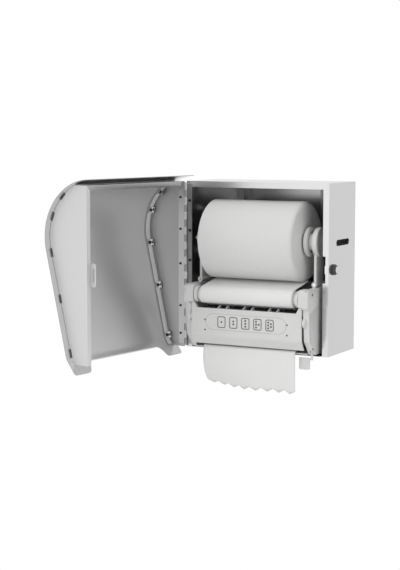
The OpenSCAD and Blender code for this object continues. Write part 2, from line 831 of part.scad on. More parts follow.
core_t = 2.4;
module towel_roll() {
    color(paper_white) on_wall() difference() {
        rod_x(roll_r, -towel_w/2, towel_w/2, roll_c);
        rod_x(core_r + core_t + run_gap, -towel_w/2 - past, towel_w/2 + past, roll_c);
    }
}
module roll_core() {
    color(card) on_wall() difference() {
        rod_x(core_r + core_t, -towel_w/2, towel_w/2, roll_c);
        rod_x(core_r, -towel_w/2 - past, towel_w/2 + past, roll_c);
    }
}

// Idler and feed drum

idler_hw = towel_w/2 + free_gap;
idler_neck = 5.2;
idler_neck_r = 11;
idler_end_r = idler_r - seat_gap;
idler_end_gap = 1.5;
// Roller with a neck and a collar at each end
module idler_roller() {
    color(white_plastic) on_wall() difference() {
        union() {
            rod_x(idler_r, -idler_hw, idler_hw, idler_c);
            both_sides() {
                rod_x(idler_neck_r, idler_hw - past, idler_hw + idler_neck + past, idler_c);
                rod_x(idler_end_r, idler_hw + idler_neck, block_x - idler_end_gap, idler_c);
            }
        }
        rod_x(axle_r + run_gap, -block_x, block_x, idler_c);
    }
}
module idler_axle() { color(bright_steel) on_wall() rod_x(axle_r, -cover_x, cover_x, idler_c); }

drum_hw = 104;
band_t = 3;
shell_t = 4;
core_drum_r = drum_r - band_t;
cap_t = 3;
cap_spigot = 4;
knife_deg = 125;
knife_slot_w = 6;
carrier_t = knife_slot_w - 2*seat_gap;
carrier_r = [15, 27];
blade_t = 1;
knife_out_r = 43.5;
blade_r = knife_out_r - knife_travel;
blade_len = 28;
blade_pitch = groove_pitch - free_gap;
blade_xs = [for (s = [-1, 1], k = [0, 1]) s*(groove_pitch/2 + k*blade_pitch)];
blade_teeth = 3;
tooth_h = 3;

// Shape placed in the drum, with Y along the knife's way out
module in_drum() { translate([0, drum_c[0], drum_c[1]]) rotate([knife_deg, 0, 0]) children(); }
module knife_slot() {
    in_drum() block(about(0, drum_hw - cap_spigot), [carrier_r[1] - shell_t, 2*drum_r],
        about(0, knife_slot_w/2));
}
module drum_body() {
    color(white_plastic) on_wall() difference() {
        rod_x(core_drum_r, -drum_hw, drum_hw, drum_c);
        rod_x(core_drum_r - shell_t, -drum_hw - past, drum_hw + past, drum_c);
        knife_slot();
    }
}
band_edges = [
    [-drum_hw, -groove_pitch - groove_w/2], [-groove_pitch + groove_w/2, -groove_w/2],
    [groove_w/2, groove_pitch - groove_w/2], [groove_pitch + groove_w/2, drum_hw]];
module grip_bands() {
    color(dark_rubber) on_wall() difference() {
        for (b = band_edges) rod_x(drum_r, b[0], b[1], drum_c);
        rod_x(core_drum_r + run_gap, -drum_hw - past, drum_hw + past, drum_c);
        knife_slot();
    }
}
module drum_caps() {
    color(white_plastic) on_wall() both_sides() difference() {
        union() {
            rod_x(core_drum_r, drum_hw, drum_hw + cap_t, drum_c);
            rod_x(core_drum_r - shell_t - run_gap, drum_hw - cap_spigot, drum_hw, drum_c);
        }
        rod_x(shaft_r + fit_gap, drum_hw - 2*cap_spigot, drum_hw + 2*cap_t, drum_c);
    }
}
shaft_end = 0.5;
shaft_hw = module_hw - cover_wall - shaft_end;
module drum_shaft() { color(bright_steel) on_wall() rod_x(shaft_r, -shaft_hw, shaft_hw, drum_c); }
bush_flange_r = 10;
bush_flange_t = 2;
module drum_bushes() {
    color(dull_steel) on_wall() both_sides() difference() {
        union() {
            rod_x(bush_r - run_gap, frame_x, cover_x, drum_c);
            rod_x(bush_flange_r, frame_x - bush_flange_t, frame_x, drum_c);
        }
        rod_x(shaft_r + run_gap, frame_x - 2*bush_flange_t, cover_x + past, drum_c);
    }
}

// Knife: a carrier that slides out of the drum and the toothed blades on it
module blade_carrier() {
    color(dull_steel) on_wall() in_drum()
        block(about(0, drum_hw - cap_spigot - free_gap), carrier_r, about(0, carrier_t/2));
}
module cutter_blade() {
    color(bright_steel) on_wall() in_drum() for (x = blade_xs)
        translate([x, 0, -blade_t/2]) linear_extrude(blade_t) polygon(concat(
            [[-blade_len/2, carrier_r[1]]],
            [for (i = [0:blade_teeth - 1]) each [
                [blade_len*(i/blade_teeth - 0.5), blade_r - tooth_h],
                [blade_len*((i + 0.5)/blade_teeth - 0.5), blade_r]]],
            [[blade_len/2, blade_r - tooth_h], [blade_len/2, carrier_r[1]]]));
}

module pinch_rollers() {
    color(dark_rubber) on_wall() difference() {
        for (b = band_edges) rod_x(pinch_r, b[0], b[1], pinch_c);
        rod_x(pinch_shaft_r + fit_gap, -drum_hw - past, drum_hw + past, pinch_c);
    }
}
module pinch_shaft() { color(bright_steel) on_wall() rod_x(pinch_shaft_r, -cover_x, cover_x, pinch_c); }
module pinch_bearings() {
    color(dull_steel) on_wall() both_sides() difference() {
        rod_x(bearing_r - run_gap, frame_x - free_gap, cover_x, pinch_c);
        rod_x(pinch_shaft_r + run_gap, frame_x - 2*free_gap, cover_x + past, pinch_c);
    }
}

// Feed lever: a toothed sector, its arm and the tab that is pushed

gear_gap = 0.8;
gear_x = [cover_x + gear_gap, module_hw - cover_wall - gear_gap];
tooth_half = 0.21;
root_half = 0.31;
tip_half = 0.11;
addendum = 0.8;
dedendum = 1.1;
function tooth(n, a) =
    let (r = gear_m*n/2, p = 360/n, low = r - dedendum*gear_m, high = r + addendum*gear_m)
    let (half = [[low, -root_half], [r, -tooth_half], [high, -tip_half]])
    [for (c = concat(half, [for (c = backwards(half)) [c[0], -c[1]]])) polar([0, 0], c[0], a + c[1]*p)];
function teeth(n, a, span) = [for (k = [span[0]:span[1]]) each tooth(n, a + k*360/n)];

sector_deg = lever_dir - 180;
lever_hub_r = 6;
lever_t = 3;
bar_z = [-5, -1];
bar_y = about(lever_c[0], lever_t/2);
tab_at = 103;
tab_x = [tab_at, tab_at + tab_w];
tab_corner = 3;
lug_reach = 12;
sector_span = [-3, 1];
module feed_lever() {
    color(white_plastic) on_wall() difference() {
        union() {
            translate([0, lever_c[0], lever_c[1]]) {
                along_x(gear_x[0], gear_x[1])
                    polygon(concat([[0, 0]], teeth(sector_n, sector_deg, sector_span)));
                rod_x(lever_hub_r, gear_x[0], gear_x[1], [0, 0]);
                block(gear_x, [0, lug_reach], [-lever_hub_r, -lever_hub_r + lever_t]);
            }
            block(gear_x, bar_y, [bar_z[0], lever_c[1]]);
            block([tab_x[0], gear_x[1]], bar_y, bar_z);
            along_y(bar_y[0], bar_y[1]) polygon(rounded([
                [tab_x[0], -tab_drop, tab_corner], [tab_x[1], -tab_drop, tab_corner],
                [tab_x[1], bar_z[1], 0], [tab_x[0], bar_z[1], 0]]));
        }
        rod_x(lever_pin_r + run_gap, cover_x - past, module_hw, lever_c);
    }
}
module lever_pin() { color(bright_steel) on_wall() rod_x(lever_pin_r, frame_x, gear_x[1], lever_c); }
module clutch_pinion() {
    color(dull_steel) on_wall() difference() {
        translate([0, drum_c[0], drum_c[1]]) along_x(gear_x[0], gear_x[1])
            polygon(teeth(pinion_n, lever_dir + 180/pinion_n, [0, pinion_n - 1]));
        rod_x(shaft_r + run_gap, cover_x - past, module_hw, drum_c);
    }
}

// Return crank and the two coil springs

crank_r = 13;
crank_t = 1.4;
crank_pin_deg = 300;
crank_pin_at = 10;
crank_pin_r = 1;
crank_pin_p = polar(drum_c, crank_pin_at, crank_pin_deg);
crank_in = 0.1;
crank_x = shaft_hw - crank_in;
spring_in = 1.5;
spring_x = crank_x - crank_t - spring_in;
module return_crank() {
    color(dull_steel) on_wall() mirror([1, 0, 0]) difference() {
        union() {
            rod_x(crank_r, crank_x - crank_t, crank_x, drum_c);
            rod_x(crank_pin_r, spring_x - crank_pin_r, crank_x - crank_t, crank_pin_p);
        }
        rod_x(shaft_r + fit_gap, spring_x - 2*crank_pin_r, crank_x + past, drum_c);
    }
}
return_post = [-60, 26];
lever_post = [-95, 20];
post_r = 1.5;
post_past = 1.2;
module spring_posts() {
    color(bright_steel) on_wall() {
        rod_x(post_r, cover_x, gear_x[1], lever_post);
        mirror([1, 0, 0]) rod_x(post_r, cover_x, spring_x + post_past, return_post);
    }
}

// One wound wire from p to q in the plane at x, running straight at both ends
coil_turns = 16;
coil_r = 1.1;
wire_r = 0.3;
coil_rings = 8;
wire_sides = 6;
coil_lead = 3*wire_r;
// Keeps the wire's rings from lying flat where it runs along the coil
coil_skew = 0.01;
function coil_ease(t) = min(1, t*coil_turns, (1 - t)*coil_turns);
function coil_centre(p, q, t) =
    let (d = unit(q - p), n = turn(d), a = 360*coil_turns*t, r = coil_r*coil_ease(t))
    let (m = p + d*(coil_lead + (norm(q - p) - 2*coil_lead)*t))
    [r*cos(a), m[0] + n[0]*r*sin(a), m[1] + n[1]*r*sin(a)];
function coil_line(p, q) = concat(
    [[0, p[0], p[1]]],
    [for (i = [0:coil_turns*coil_rings]) coil_centre(p, q, i/(coil_turns*coil_rings))],
    [[0, q[0], q[1]]]);
// Least distance between the wire's skins half a turn or more apart
function least_gap(line) =
    min([for (i = [0:len(line) - 1], j = [i + coil_rings/2:1:len(line) - 1]) norm(line[i] - line[j])])
    - 2*wire_r;
function ring(line, i, ax) =
    let (p = line[max(0, i - 1)], q = line[min(len(line) - 1, i + 1)], t = unit(q - p))
    let (u = unit(cross(t, ax)), v = cross(t, u))
    [for (k = [0:wire_sides - 1]) let (a = 360*k/wire_sides) line[i] + wire_r*(u*cos(a) + v*sin(a))];
module coil(p, q) {
    line = coil_line(p, q);
    n = len(line);
    ax = unit(cross([1, 0, 0], [0, q[0] - p[0], q[1] - p[1]])) + [coil_skew, 0, 0];
    body = [for (i = [0:n - 1]) each ring(line, i, ax)];
    sides = [for (i = [0:n - 2], k = [0:wire_sides - 1])
        let (a = i*wire_sides + k, b = i*wire_sides + (k + 1) % wire_sides)
        each [[a, a + wire_sides, b], [b, a + wire_sides, b + wire_sides]]];
    low = [for (k = [1:wire_sides - 2]) [0, k, k + 1]];
    high = [for (k = [1:wire_sides - 2]) let (o = (n - 1)*wire_sides) [o, o + k + 1, o + k]];
    polyhedron(points = body, faces = concat(sides, low, high));
    echo(least_gap_between_turns = least_gap(line));
}
function beside(p, q, w) = p + unit(q - p)*w;
lever_lug_p = lever_c + [lug_reach, -lever_hub_r + lever_t/2];
module return_spring() {
    color(bright_steel) on_wall() mirror([1, 0, 0]) translate([spring_x, 0, 0])
        coil(beside(crank_pin_p, return_post, crank_pin_r + seat_gap),
            beside(return_post, crank_pin_p, post_r + seat_gap));
}
module lever_spring() {
    color(bright_steel) on_wall() translate([(gear_x[0] + gear_x[1])/2, 0, 0])
        coil(beside(lever_lug_p, lever_post, seat_gap),
            beside(lever_post, lever_lug_p, post_r + seat_gap));
}

// Towel running from the roll over the idler, behind the drum and out at the front

function angle_to(p, q) = atan2(q[1] - p[1], q[0] - p[0]);
outlet = [-157, 12];
roll_wr = roll_r + paper_gap + paper_t/2;
idler_wr = idler_r + paper_gap + paper_t/2;
drum_wr = drum_r + paper_gap + paper_t/2;
over_idler = angle_to(roll_c, idler_c) + acos((roll_wr + idler_wr)/norm(idler_c - roll_c));
under_idler = angle_to(idler_c, drum_c) - acos((idler_wr + drum_wr)/norm(drum_c - idler_c));
off_drum = angle_to(drum_c, outlet) + acos(drum_wr/norm(outlet - drum_c));
outlet_dir = [sin(off_drum), -cos(off_drum)];
// The towel's line moved to its left by w, from the roll to the outlet
function web_side(w) = concat(
    [polar(roll_c, roll_wr + w, over_idler)],
    arc(idler_c, idler_wr - w, over_idler + 180, under_idler + 360),
    arc(drum_c, drum_wr + w, under_idler + 180, off_drum),
    [outlet + w*turn(outlet_dir)]);
module paper_web() {
    color(paper_white) on_wall() along_x(-towel_w/2, towel_w/2)
        polygon(concat(web_side(paper_t/2), backwards(web_side(-paper_t/2))));
}

// Hanging towel: a short bend down from the outlet, then a long slow curl towards the wall
tail_bend_r = 6;
tail_h0 = atan2(outlet_dir[1], outlet_dir[0]);
tail_h1 = -85;
tail_h2 = -60;
bend_c = outlet + tail_bend_r*turn(outlet_dir);
bend_end = polar(bend_c, tail_bend_r, tail_h1 - 90);
curl_r = (bend_end[1] + tail_drop + tear_h)/(cos(tail_h2) - cos(tail_h1));
curl_c = bend_end + curl_r*[-sin(tail_h1), cos(tail_h1)];
function tail_side(w) = concat(
    arc(bend_c, tail_bend_r - w, tail_h0 - 90, tail_h1 - 90, arc_steps/2),
    arc(curl_c, curl_r - w, tail_h1 - 90, tail_h2 - 90));
module towel_tail() {
    tear_w = towel_w/tear_teeth;
    color(paper_white) on_wall() difference() {
        along_x(-towel_w/2, towel_w/2)
            polygon(concat(tail_side(paper_t/2), backwards(tail_side(-paper_t/2))));
        along_y(-2*cab_d, 0) polygon(concat(
            [[towel_w/2 + past, -tail_drop - 3*tear_h], [-towel_w/2 - past, -tail_drop - 3*tear_h]],
            [for (i = [0:tear_teeth]) each [
                [-towel_w/2 + i*tear_w, -tail_drop],
                [-towel_w/2 + (i + 0.5)*tear_w, -tail_drop - tear_h]]]));
    }
}

cabinet_shell();
back_rails();
hinge_leaf_fixed();
hinge_pin();
leaf_screws();
lock_barrel();
lock_nut();
latch_housing();
lock_plug();
latch_bolt();
front_wrap();
hinge_cheek();
free_cheek();
cover_top();
hinge_leaf_cover();
leaf_rivets();
wrap_clips();
clip_screws();
latch_tongue();
module_back_plate();
left_frame();
right_frame();
left_side_cover();
right_side_cover();
side_cover_screws();
front_cover();
cover_screws();
guide_comb();
exit_guide();
left_arm();
left_hub();
left_arm_pin();
right_arm();
right_hub();
right_arm_pin();
towel_roll();
roll_core();
idler_roller();
idler_axle();
drum_body();
grip_bands();
drum_caps();
drum_shaft();
drum_bushes();
return_crank();
return_spring();
spring_posts();
blade_carrier();
cutter_blade();
pinch_rollers();
pinch_shaft();
pinch_bearings();
feed_lever();
lever_pin();
lever_spring();
clutch_pinion();
paper_web();
towel_tail();
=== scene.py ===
"""Looks of a wall towel dispenser: cover swung open, towel roll in place, one towel hanging out."""

import json
import math

import bmesh
import bpy
from bmesh.types import BMEdge, BMVert
from bpy.props import FloatProperty, FloatVectorProperty, IntProperty, PointerProperty
from mathutils import Matrix, Vector, noise


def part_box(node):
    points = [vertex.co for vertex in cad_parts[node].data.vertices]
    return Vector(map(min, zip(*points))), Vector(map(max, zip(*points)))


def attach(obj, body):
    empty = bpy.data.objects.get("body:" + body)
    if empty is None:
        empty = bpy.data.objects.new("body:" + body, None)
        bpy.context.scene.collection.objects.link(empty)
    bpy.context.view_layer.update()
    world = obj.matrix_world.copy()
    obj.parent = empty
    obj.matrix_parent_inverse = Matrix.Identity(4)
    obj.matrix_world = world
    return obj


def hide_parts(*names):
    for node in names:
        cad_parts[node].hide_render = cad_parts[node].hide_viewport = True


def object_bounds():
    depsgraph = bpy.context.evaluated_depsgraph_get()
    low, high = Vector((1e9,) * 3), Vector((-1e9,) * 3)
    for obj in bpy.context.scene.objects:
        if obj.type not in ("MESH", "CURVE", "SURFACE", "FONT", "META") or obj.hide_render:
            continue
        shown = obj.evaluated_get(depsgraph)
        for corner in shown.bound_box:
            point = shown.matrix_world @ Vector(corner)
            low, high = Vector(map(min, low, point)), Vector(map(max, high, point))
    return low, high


bl_info = {
    "name": "Towel dispenser looks",
    "version": (1, 0, 0),
    "blender": (4, 5, 0),
    "location": "View3D > Sidebar > Dispenser",
    "description": "Finishes, towel, sheets and studio for a wall towel dispenser",
    "category": "Object",
}

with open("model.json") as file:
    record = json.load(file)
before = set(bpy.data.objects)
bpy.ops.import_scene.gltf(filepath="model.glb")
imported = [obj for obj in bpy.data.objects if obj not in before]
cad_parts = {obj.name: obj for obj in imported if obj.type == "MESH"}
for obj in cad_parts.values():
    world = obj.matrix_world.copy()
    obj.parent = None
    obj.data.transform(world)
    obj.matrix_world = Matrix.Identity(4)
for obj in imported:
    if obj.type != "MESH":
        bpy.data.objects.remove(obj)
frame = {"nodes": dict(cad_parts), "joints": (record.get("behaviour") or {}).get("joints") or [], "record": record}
CAD_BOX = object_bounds()

NODES = frame["nodes"]
JOINTS = {joint["name"]: joint for joint in frame["joints"]}
SLOT_OF = {part["node"]: part["material_slot"] for part in frame["record"]["subparts"]}


def centre_of(joint):
    """Point on a joint's axis."""
    return Vector(JOINTS[joint]["pos_m"])


def span(node):
    """Size of a CAD node's box."""
    low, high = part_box(node)
    return high - low


# Places and sizes from the frame

CABINET_LOW, CABINET_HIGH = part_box("cabinet_shell")
PANEL_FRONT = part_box("front_cover")[0].y
HINGE = centre_of("cover_hinge")
OPEN_ANGLE = math.radians(JOINTS["cover_hinge"]["range_deg"][1])
FOOT_Z = CABINET_LOW.z
TOWEL_WIDTH = span("towel_roll").x
ROLL_RADIUS = span("towel_roll").z / 2
IDLER_RADIUS = span("idler_roller").z / 2
CORE_RADIUS = span("roll_core").z / 2

# Radius of the drum over its grip bands
DRUM_RADIUS = 0.034

QUARTER_TURN = math.pi / 2
FULL_TURN = 2 * math.pi


# Sizes and colours


def metres(label, text, value):
    """Length property."""
    return FloatProperty(name=label, description=text, default=value, unit="LENGTH")


def degrees(label, text, value):
    """Angle property."""
    return FloatProperty(name=label, description=text, default=math.radians(value), subtype="ANGLE")


def lengths(label, text, *values):
    """Property of several lengths."""
    return FloatVectorProperty(
        name=label, description=text, size=len(values), default=values, unit="LENGTH"
    )


def number(label, text, value):
    """Whole number property."""
    return IntProperty(name=label, description=text, default=value)


def colour(label, shade, green=1.0, blue=1.005):
    """Colour property from a grey shade and a light tint."""
    return FloatVectorProperty(
        name=label,
        description="Base colour of " + label.lower(),
        subtype="COLOR",
        size=3,
        min=0,
        max=1,
        default=(shade, shade * green, shade * blue),
    )


class SheetSizes(bpy.types.PropertyGroup):
    """Front sheet of the cover, edging of its cheeks with the dark strip that paints the shade beside it, and dark
    blocks that paint the shade in their slots.
    """

    thickness: metres("Sheet", "Thickness of the sheet", 0.0012)
    radius: metres("Front curve", "Radius of the rounded top", 0.1092)
    curve_back: metres("Curve back", "Curve's centre behind the cover's rim", 0.018)
    curve_height: metres("Curve height", "Curve's centre over the cabinet's foot", 0.2375)
    top_angle: degrees("Top", "Where the curve starts", 86)
    lean: degrees("Lean", "Lean of the front", 13.2)
    chin: degrees("Chin", "Lean under the knee", 36.5)
    knee_height: metres("Knee", "Height of the knee", 0.0112)
    knee_radius: metres("Knee bend", "Radius of the knee", 0.024)
    overhang: metres("Overhang", "Sheet past each cheek", 0.013)
    foot_width: metres("Foot", "Width of a foot at its tip", 0.047)
    foot_drop: metres("Foot drop", "Foot below the cabinet", 0.0175)
    foot_flare: metres("Foot flare", "Extra width at a foot's root", 0.013)
    foot_corner: metres("Foot corner", "Corner radius of a foot", 0.010)
    heel_corner: metres("Heel corner", "Outer corner radius of a foot", 0.006)
    notch_height: metres("Notch", "Height of the notch's edge", 0.0026)
    notch_corner: metres("Notch corner", "Radius beside a foot", 0.020)
    hem_radius: metres("Hem", "Radius of the notch's rolled hem", 0.0013)
    edging_width: metres("Edging", "Width of the bright edging", 0.0135)
    edging_in: metres("Edging in", "Edging off the cheek", 0.0040)
    edging_top: metres("Edging top", "Top end over the cabinet's foot", 0.321)
    edging_low: metres("Edging low", "Low end over the cabinet's foot", 0.004)
    edging_thickness: metres("Edging sheet", "Thickness of the edging", 0.0001)
    # Dark strip under the edging, wider than it, that paints the shade along both its sides
    shade_strip_thickness: metres("Seal", "Thickness of the edging's seal", 0.00008)
    shade_strip_margin: metres("Seal margin", "Seal beside the edging", 0.0013)
    edge_inset: metres("Edge inset", "Cheek's edge under the front skin", 0.0016)
    flange_inset: metres("Flange inset", "Flange's face under the front skin", 0.00282)
    # Size of one dark block that paints the shade in a slot
    liner: lengths("Liner", "Size of a slot liner", 0.0008, 0.0026, 0.0164)
    slot_heights: lengths("Slots", "Slots over the cabinet's foot", 0.314, 0.276, 0.208, 0.122, 0.021)


class PaperSizes(bpy.types.PropertyGroup):
    """Towel roll, the towel's run over the rollers and the towel that hangs out."""

    thickness: metres("Towel", "Thickness of the towel", 0.0004)
    clearance: metres("Clearance", "Towel off a roller", 0.0003)
    left_round: metres("Left edge", "Rounding of the roll's left edge", 0.0015)
    right_round: metres("Right edge", "Rounding of the roll's right edge", 0.008)
    rings: number("Rings", "Windings seen on the roll's end", 26)
    ring_depth: metres("Ring depth", "Depth between windings", 0.0003)
    outlet_y: metres("Outlet depth", "Where the towel leaves", -0.157)
    outlet_z: metres("Outlet height", "Outlet over the foot", 0.012)
    bend_radius: metres("Bend", "Bend at the outlet", 0.006)
    tail_length: metres("Tail", "Hanging length after the bend", 0.0735)
    curl_left: degrees("Left curl", "Heading of the left corner", -48)
    curl_right: degrees("Right curl", "Heading of the right corner", -88)
    teeth: number("Teeth", "Points along the cut edge", 8)
    tooth_height: metres("Tooth", "Height of a point", 0.007)


class PanelSizes(bpy.types.PropertyGroup):
    """Raised marks on the front panel."""

    tiles: number("Tiles", "Plain tiles in a row", 5)
    tile_width: metres("Tile width", "Width of a tile", 0.0175)
    tile_height: metres("Tile height", "Height of a tile", 0.0225)
    tile_pitch: metres("Pitch", "Distance between tiles", 0.0262)
    tile_middle: metres("Middle", "Height of the row over the foot", 0.061)
    line: metres("Line", "Width of a raised line", 0.0015)
    bead: metres("Bead", "Depth of the panel's top bead", 0.001)
    proud: metres("Proud", "Height of a raised line", 0.0005)
    field_length: metres("Field length", "Length of the faint field", 0.176)
    field_height: metres("Field height", "Height of the faint field", 0.033)


class FinishColours(bpy.types.PropertyGroup):
    """Base colours of the finishes, linear."""

    steel_sheet: colour("Satin sheet", 0.60)
    # One brushed sheet in two tones: the free cheek lighter as painted light, the hinge cheek darker as painted
    # shade
    cheek: colour("Brushed sheet", 0.70)
    hinge_side: colour("Hinge cheek", 0.52)
    # Darker inner side of the cabinet's sheet: partly its duller mill face, partly painted shade inside the
    # cabinet
    inside: colour("Cabinet inside", 0.37)
    dull_steel: colour("Mill steel", 0.40, blue=1.01)
    bright_steel: colour("Bright steel", 0.74)
    blackened: colour("Blackened steel", 0.055, blue=1.02)
    white_plastic: colour("White plastic", 0.74, blue=0.99)
    grip_rubber: colour("Grip rubber", 0.10, blue=1.03)
    # One front sheet in two tones: the inner face lighter than the outer, as painted light inside the open cover
    wrap: colour("Front sheet", 0.64)
    lining: colour("Inner sheet", 0.80)
    # Pale, mostly matt coat on the edging and hem: its brightness is a painted highlight
    zinc: colour("Zinc edging", 0.80, blue=1.0)
    # The lock's near-black steel paints the dark reflections on its barrel
    lock: colour("Lock steel", 0.10, blue=1.01)
    # One towel paper in two tones: the hanging towel lighter than the roll, as painted light on the towel
    towel_paper: colour("Roll paper", 0.77, blue=0.99)
    towel: colour("Towel paper", 0.87, blue=0.99)
    card_core: colour("Roll core", 0.42, green=0.88, blue=0.72)
    marks: colour("Panel marks", 0.13, blue=1.0)
    field: colour("Panel field", 0.60, blue=1.0)


class StageSizes(bpy.types.PropertyGroup):
    """Camera, floor and lamps."""

    lens: FloatProperty(name="Lens", description="Focal length in mm", default=89.24)
    place: lengths("Camera", "Place of the camera", 1.219, -2.619, 0.200)
    azimuth: degrees("Azimuth", "Turn to the left", 28.38)
    tilt: degrees("Tilt", "Look down", 6.13)
    floor_gap: metres("Floor", "Floor below the towel", 0.75)
    floor_radius: metres("Floor radius", "Radius of the floor", 9.0)
    shadow_radius: metres("Shadow radius", "Floor that shows shadow", 0.9)
    soft_light: FloatProperty(
        name="Soft light", description="Strength of the surroundings as a lamp", default=0.55
    )


class DispenserLooks(bpy.types.PropertyGroup):
    """All sizes and colours."""

    sheet: PointerProperty(type=SheetSizes)
    paper: PointerProperty(type=PaperSizes)
    panel: PointerProperty(type=PanelSizes)
    finish: PointerProperty(type=FinishColours)
    stage: PointerProperty(type=StageSizes)


def looks():
    """The scene's sizes and colours."""
    return bpy.context.scene.dispenser_looks


# Mesh tools

MERGE_GAP = 1e-6

# Which way a sheet's wall grows from its drawn face
INWARDS = -1
BOTH_WAYS = 0

EDGE_SEGMENTS = 2
SHARP_ANGLE = math.radians(32)


class Pen:
    """Draws a bent line in a mesh, in the plane that `across` stands on."""

    def __init__(self, mesh, start, heading, across):
        self.mesh = mesh
        self.across = Vector(across)
        self.heading = Vector(heading).normalized()
        self.tip = mesh.verts.new(start)
        self.points = [self.tip]
        self.length = 0.0

    def grow(self):
        """Adds a point on top of the tip."""
        grown = bmesh.ops.extrude_vert_indiv(self.mesh, verts=[self.tip])
        self.tip = grown["verts"][0]
        self.points.append(self.tip)

    def forward(self, length, steps):
        """Draws a straight stretch."""
        for _ in range(steps):
            self.grow()
            bmesh.ops.translate(self.mesh, verts=[self.tip], vec=self.heading * (length / steps))
        self.length += length

    def bend(self, radius, angle, steps):
        """Draws an arc that turns about `across`."""
        centre = self.tip.co + self.across.cross(self.heading) * math.copysign(radius, angle)
        turn = Matrix.Rotation(angle / steps, 3, self.across)
        for _ in range(steps):
            self.grow()
            bmesh.ops.rotate(self.mesh, verts=[self.tip], cent=centre, matrix=turn)
        self.heading = Matrix.Rotation(angle, 3, self.across) @ self.heading
        self.length += radius * abs(angle)


def heading_of(angle):
    """Direction in the plane across X, from the Y axis towards Z."""
    return Vector((0.0, math.cos(angle), math.sin(angle)))


def added(grown, kind):
    """What a mesh operator added, of one kind."""
    return [item for item in grown["geom"] if isinstance(item, kind)]


def border(mesh, test):
    """Edges of a sheet's border whose points both pass a test."""
    return [e for e in mesh.edges if e.is_boundary and all(test(v.co) for v in e.verts)]


def move(mesh, vector):
    """Moves a whole mesh."""
    bmesh.ops.translate(mesh, verts=mesh.verts, vec=vector)


def widen(mesh, edges, widths):
    """Draws a line out along X, one column of faces for each width."""
    for width in widths:
        grown = bmesh.ops.extrude_edge_only(mesh, edges=edges)
        edges = added(grown, BMEdge)
        bmesh.ops.translate(mesh, verts=added(grown, BMVert), vec=(width, 0, 0))


def pull_row(mesh, edges, step_of):
    """Draws a border's edges on, each point by its own step, and gives the new edges."""
    grown = bmesh.ops.extrude_edge_only(mesh, edges=edges)
    for vertex in added(grown, BMVert):
        vertex.co += step_of(vertex.co.x)
    return added(grown, BMEdge)


def merge(mesh):
    """Merges points that lie on top of each other."""
    bmesh.ops.remove_doubles(mesh, verts=mesh.verts, dist=MERGE_GAP)


def close_up(mesh):
    """Merges doubles and points the faces outwards."""
    merge(mesh)
    bmesh.ops.recalc_face_normals(mesh, faces=mesh.faces)


def face_away(mesh, inside):
    """Points an open sheet's faces away from a point inside it."""
    mesh.normal_update()
    facing = sum(face.normal.dot(face.calc_center_median() - inside) for face in mesh.faces)
    if facing < 0:
        bmesh.ops.reverse_faces(mesh, faces=mesh.faces)


def store(name, mesh):
    """Keeps a drawn mesh under a name."""
    data = bpy.data.meshes.new(name)
    mesh.to_mesh(data)
    mesh.free()
    return data


def gather(meshes):
    """One mesh from several."""
    whole = bmesh.new()
    for mesh in meshes:
        data = store("part", mesh)
        whole.from_mesh(data)
        bpy.data.meshes.remove(data)
    return whole


def add_object(name, data):
    """New object in the scene, at the origin."""
    item = bpy.data.objects.new(name, data)
    bpy.context.scene.collection.objects.link(item)
    return item


def make_piece(name, mesh, body, finish, replaced=()):
    """Turns a mesh into a piece that rides on a body; the cover's are drawn closed and swung open."""
    if body == "cover":
        swing_open(mesh)
    data = store(name, mesh)
    data.shade_smooth()
    data.materials.append(FINISHES[finish])
    piece = add_object(name, data)
    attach(piece, body)
    if replaced:
        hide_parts(*replaced)
    return piece


def add_wall(piece, thickness, offset=INWARDS):
    """Gives a sheet its thickness."""
    wall = piece.modifiers.new("Wall", "SOLIDIFY")
    wall.thickness = thickness
    wall.offset = offset
    wall.use_even_offset = True
    return wall


def soften_edges(piece, width, angle=SHARP_ANGLE):
    """Small rounded edges with clean shading."""
    edge = piece.modifiers.new("Edges", "BEVEL")
    edge.width = width
    edge.segments = EDGE_SEGMENTS
    edge.angle_limit = angle
    piece.modifiers.new("Shading", "WEIGHTED_NORMAL")


# Finishes

# Colour sockets of the node that mixes two colours
MIX_FIRST, MIX_SECOND, MIX_RESULT = 6, 7, 2

# How far each pattern is drawn out along the axes
LINE_STRETCH = (1.0, 1.0, 0.012)
CLOUD_STRETCH = (1.0, 1.0, 0.6)
FIBRE_STRETCH = (0.35, 1.0, 1.0)

GRAIN_DEPTH = 0.0002
MOULD_CLOUD = 14.0
MOULD_SPREAD = 0.05
FIBRE_FINENESS = 1100.0
FIBRE_HEIGHT = 0.5


def join(value, socket):
    """Links a socket to another one, or gives it a plain value."""
    if isinstance(value, bpy.types.NodeSocket):
        socket.id_data.links.new(value, socket)
    else:
        socket.default_value = value


def feed(node, **inputs):
    """Gives a shader node its input values and links."""
    for key, value in inputs.items():
        join(value, node.inputs[key.replace("_", " ")])


def add_node(tree, kind, *values, settings=None, **inputs):
    """One shader node with its settings, and its inputs in order or by name."""
    node = tree.nodes.new(kind)
    for key, value in (settings or {}).items():
        setattr(node, key, value)
    for value, socket in zip(values, node.inputs):
        join(value, socket)
    feed(node, **inputs)
    return node


def maths(tree, operation, *values, clamp=False):
    """Result of one step of arithmetic."""
    settings = {"operation": operation, "use_clamp": clamp}
    return add_node(tree, "ShaderNodeMath", *values, settings=settings).outputs["Value"]


def between(tree, mask, low, high, start=0.3, stop=0.7):
    """Value that goes from low to high as a mask goes from start to stop."""
    node = add_node(
        tree, "ShaderNodeMapRange", Value=mask, From_Min=start, From_Max=stop, To_Min=low, To_Max=high
    )
    return node.outputs["Result"]


def mixed(tree, mask, first, second):
    """Colour that goes from the first to the second with a mask."""
    mix = add_node(tree, "ShaderNodeMix", mask, settings={"data_type": "RGBA"})
    join(first, mix.inputs[MIX_FIRST])
    join(second, mix.inputs[MIX_SECOND])
    return mix.outputs[MIX_RESULT]


